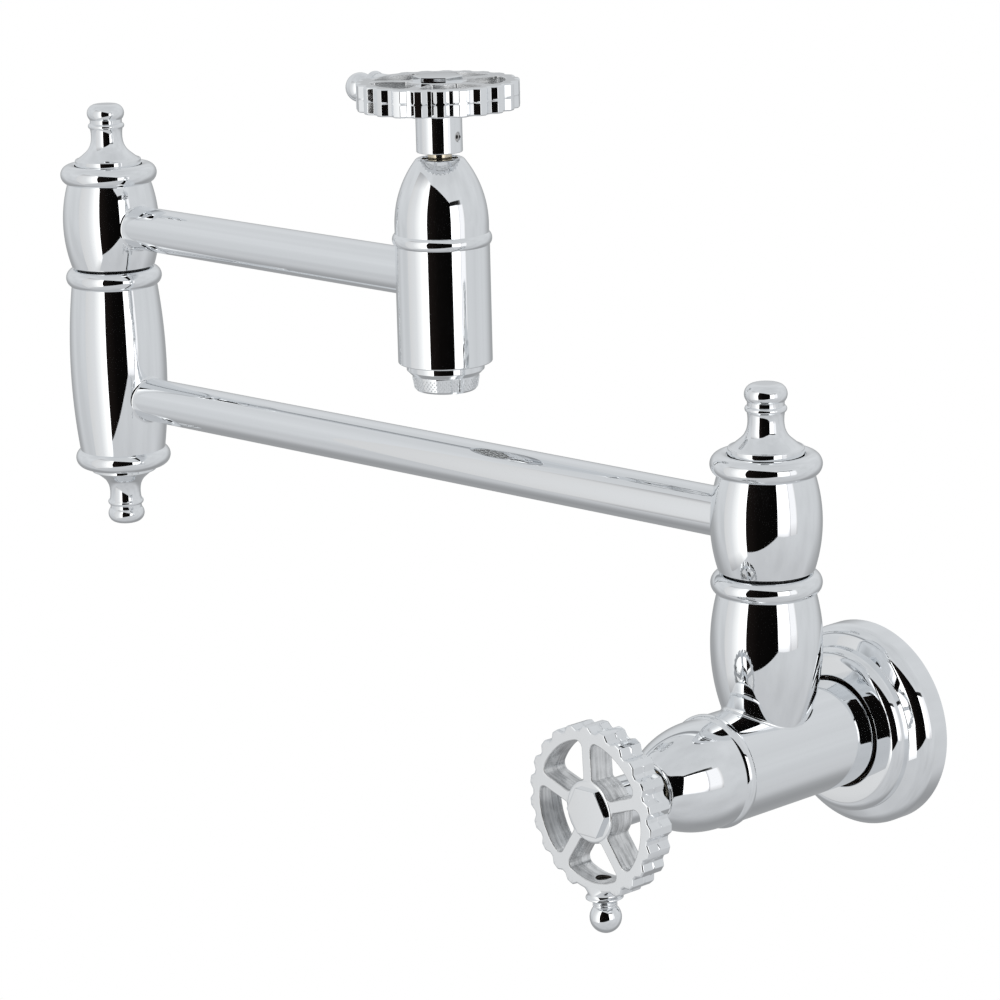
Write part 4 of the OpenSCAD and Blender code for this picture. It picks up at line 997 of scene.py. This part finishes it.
def window(grown, number, corner=10, long=22):
    """Outline of the window between two spokes, grown by a distance all round."""
    half, outer, inner = spoke_half - grown, rim_inner_r + grown, hub_r - grown
    out_round, in_round = 2.2 + grown, 1.1 + grown
    out_y = half + out_round
    out_x = sqrt((outer - out_round) ** 2 - out_y**2)
    in_y = half + in_round
    in_x = sqrt((inner + in_round) ** 2 - in_y**2)
    out_way, in_way = degrees(atan2(out_y, out_x)), degrees(atan2(in_y, in_x))

    def bow(x, y, r, a, b, count):
        return [Vector(p) for p in arc(x, y, r, a, b, count=count)]

    side = (
        bow(in_x, in_y, in_round, 180 + in_way, 270, corner)
        + bow(out_x, out_y, out_round, 270, 360 + out_way, corner)
    )
    c, s = cos(radians(spoke_pitch)), sin(radians(spoke_pitch))
    other = [Vector((p.x * c + p.y * s, p.x * s - p.y * c)) for p in reversed(side)]
    outline = (
        side + bow(0, 0, outer, out_way, spoke_pitch - out_way, long)[1:-1]
        + other + bow(0, 0, inner, spoke_pitch - in_way, in_way, long // 2)[1:-1]
    )
    spin = radians(180 + spoke_pitch * number)
    return [(p.x * cos(spin) - p.y * sin(spin), p.x * sin(spin) + p.y * cos(spin)) for p in outline]


def wheel_core(bm):
    """Spokes and hub: the window walls and the two flat faces, out to where the rim's edge begins."""
    ways = [half_pitch * (2 * place + 1) + w for place in range(places) for w in sector_ways[:-1]]
    rims = [
        [bm.verts.new((face_r * cos(w), face_r * sin(w), z)) for w in ways] for z in (-rim_half, rim_half)
    ]
    loops = [rims]
    levels = rim_levels(window_ease, draw=0.35)
    for number in range(spokes):
        stack = [[bm.verts.new((x, y, z)) for x, y in window(back, number)] for z, back in levels]
        loops.append(stack)
        for low, high in zip(stack, stack[1:]):
            count = len(low)
            for i in range(count):
                j = (i + 1) % count
                wall = bm.faces.new((low[j], low[i], high[i], high[j]))
                wall.material_index = wheel_finishes.index(satin)
    for end in (0, -1):
        rows = [stack[end] for stack in loops]
        flat = [v for row in rows for v in row]
        for a, b, c in tessellate_polygon([[v.co for v in row] for row in rows]):
            bm.faces.new((flat[a], flat[b], flat[c]))


def places_tree():
    """Copies one place of the rim round the wheel, as many times as asked, from a first place."""
    tree, given = new_tree("Places round a rim", {
        "Places": "Int", "Copies": "Int", "First place": "Float", "Finish": "Material",
    })
    spots = node(tree, "GeometryNodeMeshLine", (-600, 200), {"Count": given["Copies"], "Offset": (0, 0, 0)})
    index = node(tree, "GeometryNodeInputIndex", (-900, -200)).outputs[0]
    place = maths(tree, "ADD", index, given["First place"], (-700, -200))
    pitch = maths(tree, "DIVIDE", 2 * pi, given["Places"], (-700, -400))
    spin = node(tree, "ShaderNodeCombineXYZ", (-300, -300), {
        2: maths(tree, "MULTIPLY", place, pitch, (-500, -300)),
    })
    copies = node(tree, "GeometryNodeInstanceOnPoints", (-100, 100), {
        "Points": spots.outputs[0], "Instance": given["Geometry"], "Rotation": spin.outputs[0],
    })
    return end_tree(tree, copies.outputs[0], given["Finish"])


def boss():
    """Boss under the knob: leaves the rim as a broad pad and swells into the round collar."""
    start, end, count = 22.9, 26.8, 96
    rings = [[(start, 0, 0)]]
    pad_y, pad_z, neck_r = 7.4, 4.3, 5.1
    for k in range(13):
        t = k / 12
        x = start + (end - start) * t
        s = t * t * (3 - 2 * t)
        rounded = min(1, s * 1.15)
        half_y = pad_y + (neck_r - pad_y) * rounded
        half_z = pad_z + (neck_r - pad_z) * rounded
        power = 2 + 2.2 * (1 - s)
        ring = []
        for i in range(count):
            w = 2 * pi * i / count
            c, d = cos(w), sin(w)
            reach = (abs(c) ** power + abs(d) ** power) ** (-1 / power)
            ring.append((x, half_y * reach * c, half_z * reach * d))
        rings.append(ring)
    return rings + [[(end, 0, 0)]], False


def cut_out(mesh, cutter):
    """The mesh with a cutter's shape taken out of it."""
    holder, tool = placed("holder", mesh), placed("tool", cutter)
    cut = holder.modifiers.new("cut", "BOOLEAN")
    cut.operation = "DIFFERENCE"
    cut.solver = "EXACT"
    cut.object = tool
    result = baked(holder)
    bpy.data.objects.remove(tool)
    return result


def weighted(mesh):
    """The mesh with normals that follow its large faces, so flats stay flat beside eased edges."""
    holder = placed("holder", mesh)
    holder.modifiers.new("even", "WEIGHTED_NORMAL").keep_sharp = True
    return baked(holder)


def drill(outline, around, place):
    return plain_mesh("drill", [moved(turned(outline, closed=False, around=around), place)])


sleeve_outline = eased([(4.1, -18.9), (7.65, -18.9, 0.35), (7.65, -4.4), (4.1, -4.4)])
hub_outline = [(0, 3.9), (9.98, 3.9)] + arc(9.05, 3.75, 0.93, 12, 90, 9) + [(8.9, 4.68), (0, 4.68)]
places_rule = places_tree()
weld, streak_draw = 2e-6, 0.06
screw_drill = drill(
    [(0, 20), (2.5, 20), (2.5, 22.2), (2.25, 22.5), (2.25, 24.5), (0, 24.5)], 64, turn("Y", 90)
)
grub_drill = drill(
    [(0, 3), (1.5, 3), (1.5, 7.4), (1.8, 7.7), (1.8, 9), (0, 9)], 48,
    turn("Z", 185) @ shift(0, 0, -13.57) @ turn("Y", 90),
)
rim_bm = bmesh.new()
wheel_core(rim_bm)
bmesh.ops.scale(rim_bm, vec=(mm, mm, mm), verts=rim_bm.verts)
for name, toothed, copies, first in (("tooth", True, teeth, 1.5), ("gap", False, places - teeth, -0.5)):
    ring = worked(sheet_mesh(name, rim_sector(toothed)), places_rule, {
        "Places": places, "Copies": copies, "First place": first, "Finish": wheel_chrome,
    })
    for polygon in ring.polygons:
        polygon.material_index = 0
    rim_bm.from_mesh(ring)
bmesh.ops.remove_doubles(rim_bm, verts=rim_bm.verts, dist=weld)
bmesh.ops.recalc_face_normals(rim_bm, faces=rim_bm.faces)
assert all(edge.is_manifold for edge in rim_bm.edges)
# The drill's faces become the screw hole's walls, in zinc painted nearly black as painted shade in the
# hole.
for polygon in screw_drill.polygons:
    polygon.material_index = wheel_finishes.index(zinc_and_hole_shade)
drilled_rim = cut_out(mesh_of(rim_bm, "rim", wheel_finishes), screw_drill)
drilled_sleeve = cut_out(plain_mesh("sleeve", [turned(sleeve_outline, around=128)]), grub_drill)
wheel_bm = bmesh.new()
boss_and_hub = plain_mesh("boss", [boss(), turned(hub_outline, closed=False, around=160)])
for mesh in (drilled_rim, drilled_sleeve, boss_and_hub):
    wheel_bm.from_mesh(mesh)
wheel_mesh = mesh_of(wheel_bm, "wheel", wheel_finishes)
smoothed(wheel_mesh, 33)
flat = wheel_mesh.uv_layers.new(name="flat")
for loop in wheel_mesh.loops:
    x, y, z = wheel_mesh.vertices[loop.vertex_index].co
    flat.data[loop.index].uv = (z, streak_draw * (x + y))
wheel_mesh = weighted(wheel_mesh)

sleeve_gap, sleeve_long = 1.9, 14.4
rim_middle = nose + sleeve_gap + sleeve_long + rim_half
# Each wheel's name, place and body, and how its CAD nodes' names begin.
wheels = (
    ("wall_wheel", lower_seat @ turn("Z", 273) @ shift(0, 0, rim_middle), "lower_handle", "lower"),
    ("spout_wheel", spout_seat @ turn("Z", 184.5) @ shift(0, 0, rim_middle), "upper_handle", "spout"),
)
for name, place, body, cad in wheels:
    mesh = wheel_mesh.copy()
    mesh.transform(in_metres(place))
    tie(name, mesh, body, [cad + "_handwheel"])

# Hub caps
# Six-sided chromed caps with a low crown, pressed into the hubs over the ends of the stems.


def hex_cap():
    """The cap as rings: up its six sides, over an eased edge, and in over the crown."""
    corner_r, high, crown = 8.3, 1.85, 0.2
    ball = (corner_r**2 + crown**2) / (2 * crown)
    ways = [radians(30 + 60 * k) for k in range(6)]
    outline = eased([(corner_r * cos(w), corner_r * sin(w), 0.15) for w in ways])

    def crown_at(r):
        return high - ball + sqrt(ball * ball - r * r)

    rings = [[(0, 0, 0.1)]] + [[(x, y, z) for x, y in outline] for z in (0.1, 1.3)]
    drops = [(1, 0.13), (0.997, 0.05), (0.992, 0.012)] + [(0.984 * (1 - k / 16), 0) for k in range(16)]
    for share, drop in drops:
        rings.append([(x * share, y * share, crown_at(hypot(x, y) * share) - drop) for x, y in outline])
    rings.append([(0, 0, high)])
    return rings, False


for name, place, body, cad in wheels:
    piece(name + "_cap", [hex_cap()], place @ shift(0, 0, rim_half), body, [cad + "_hex_cap"])

# Ball knobs
# Turned brass balls on a flared collar with two fine rings, chromed. A screw through the rim,
# whose hole shows in the window, holds each of them.
ball_outline = (
    [(0, 26.4), (5.05, 26.4)] + smooth_through([(5.1, 26.7), (5.2, 27.0), (5.42, 27.35), (5.68, 27.66)], 3)
    + arc(5.2, 27.98, 0.65, 15, -62, 9) + [(3.3, 29.25), (3.3, 29.4)]
    + arc(3.45, 29.7, 0.35, -70, 70, 14) + arc(3.45, 30.5, 0.35, -70, 70, 14)
    + arc(0, 34.5, 4.95, -48, 90, 4)[:-1] + [(0, 39.42)]
)
for name, place, body, cad in wheels:
    piece(name + "_knob", [turned(ball_outline, closed=False, around=128)], place @ turn("Y", 90), body,
          [cad + "_ball_knob"])
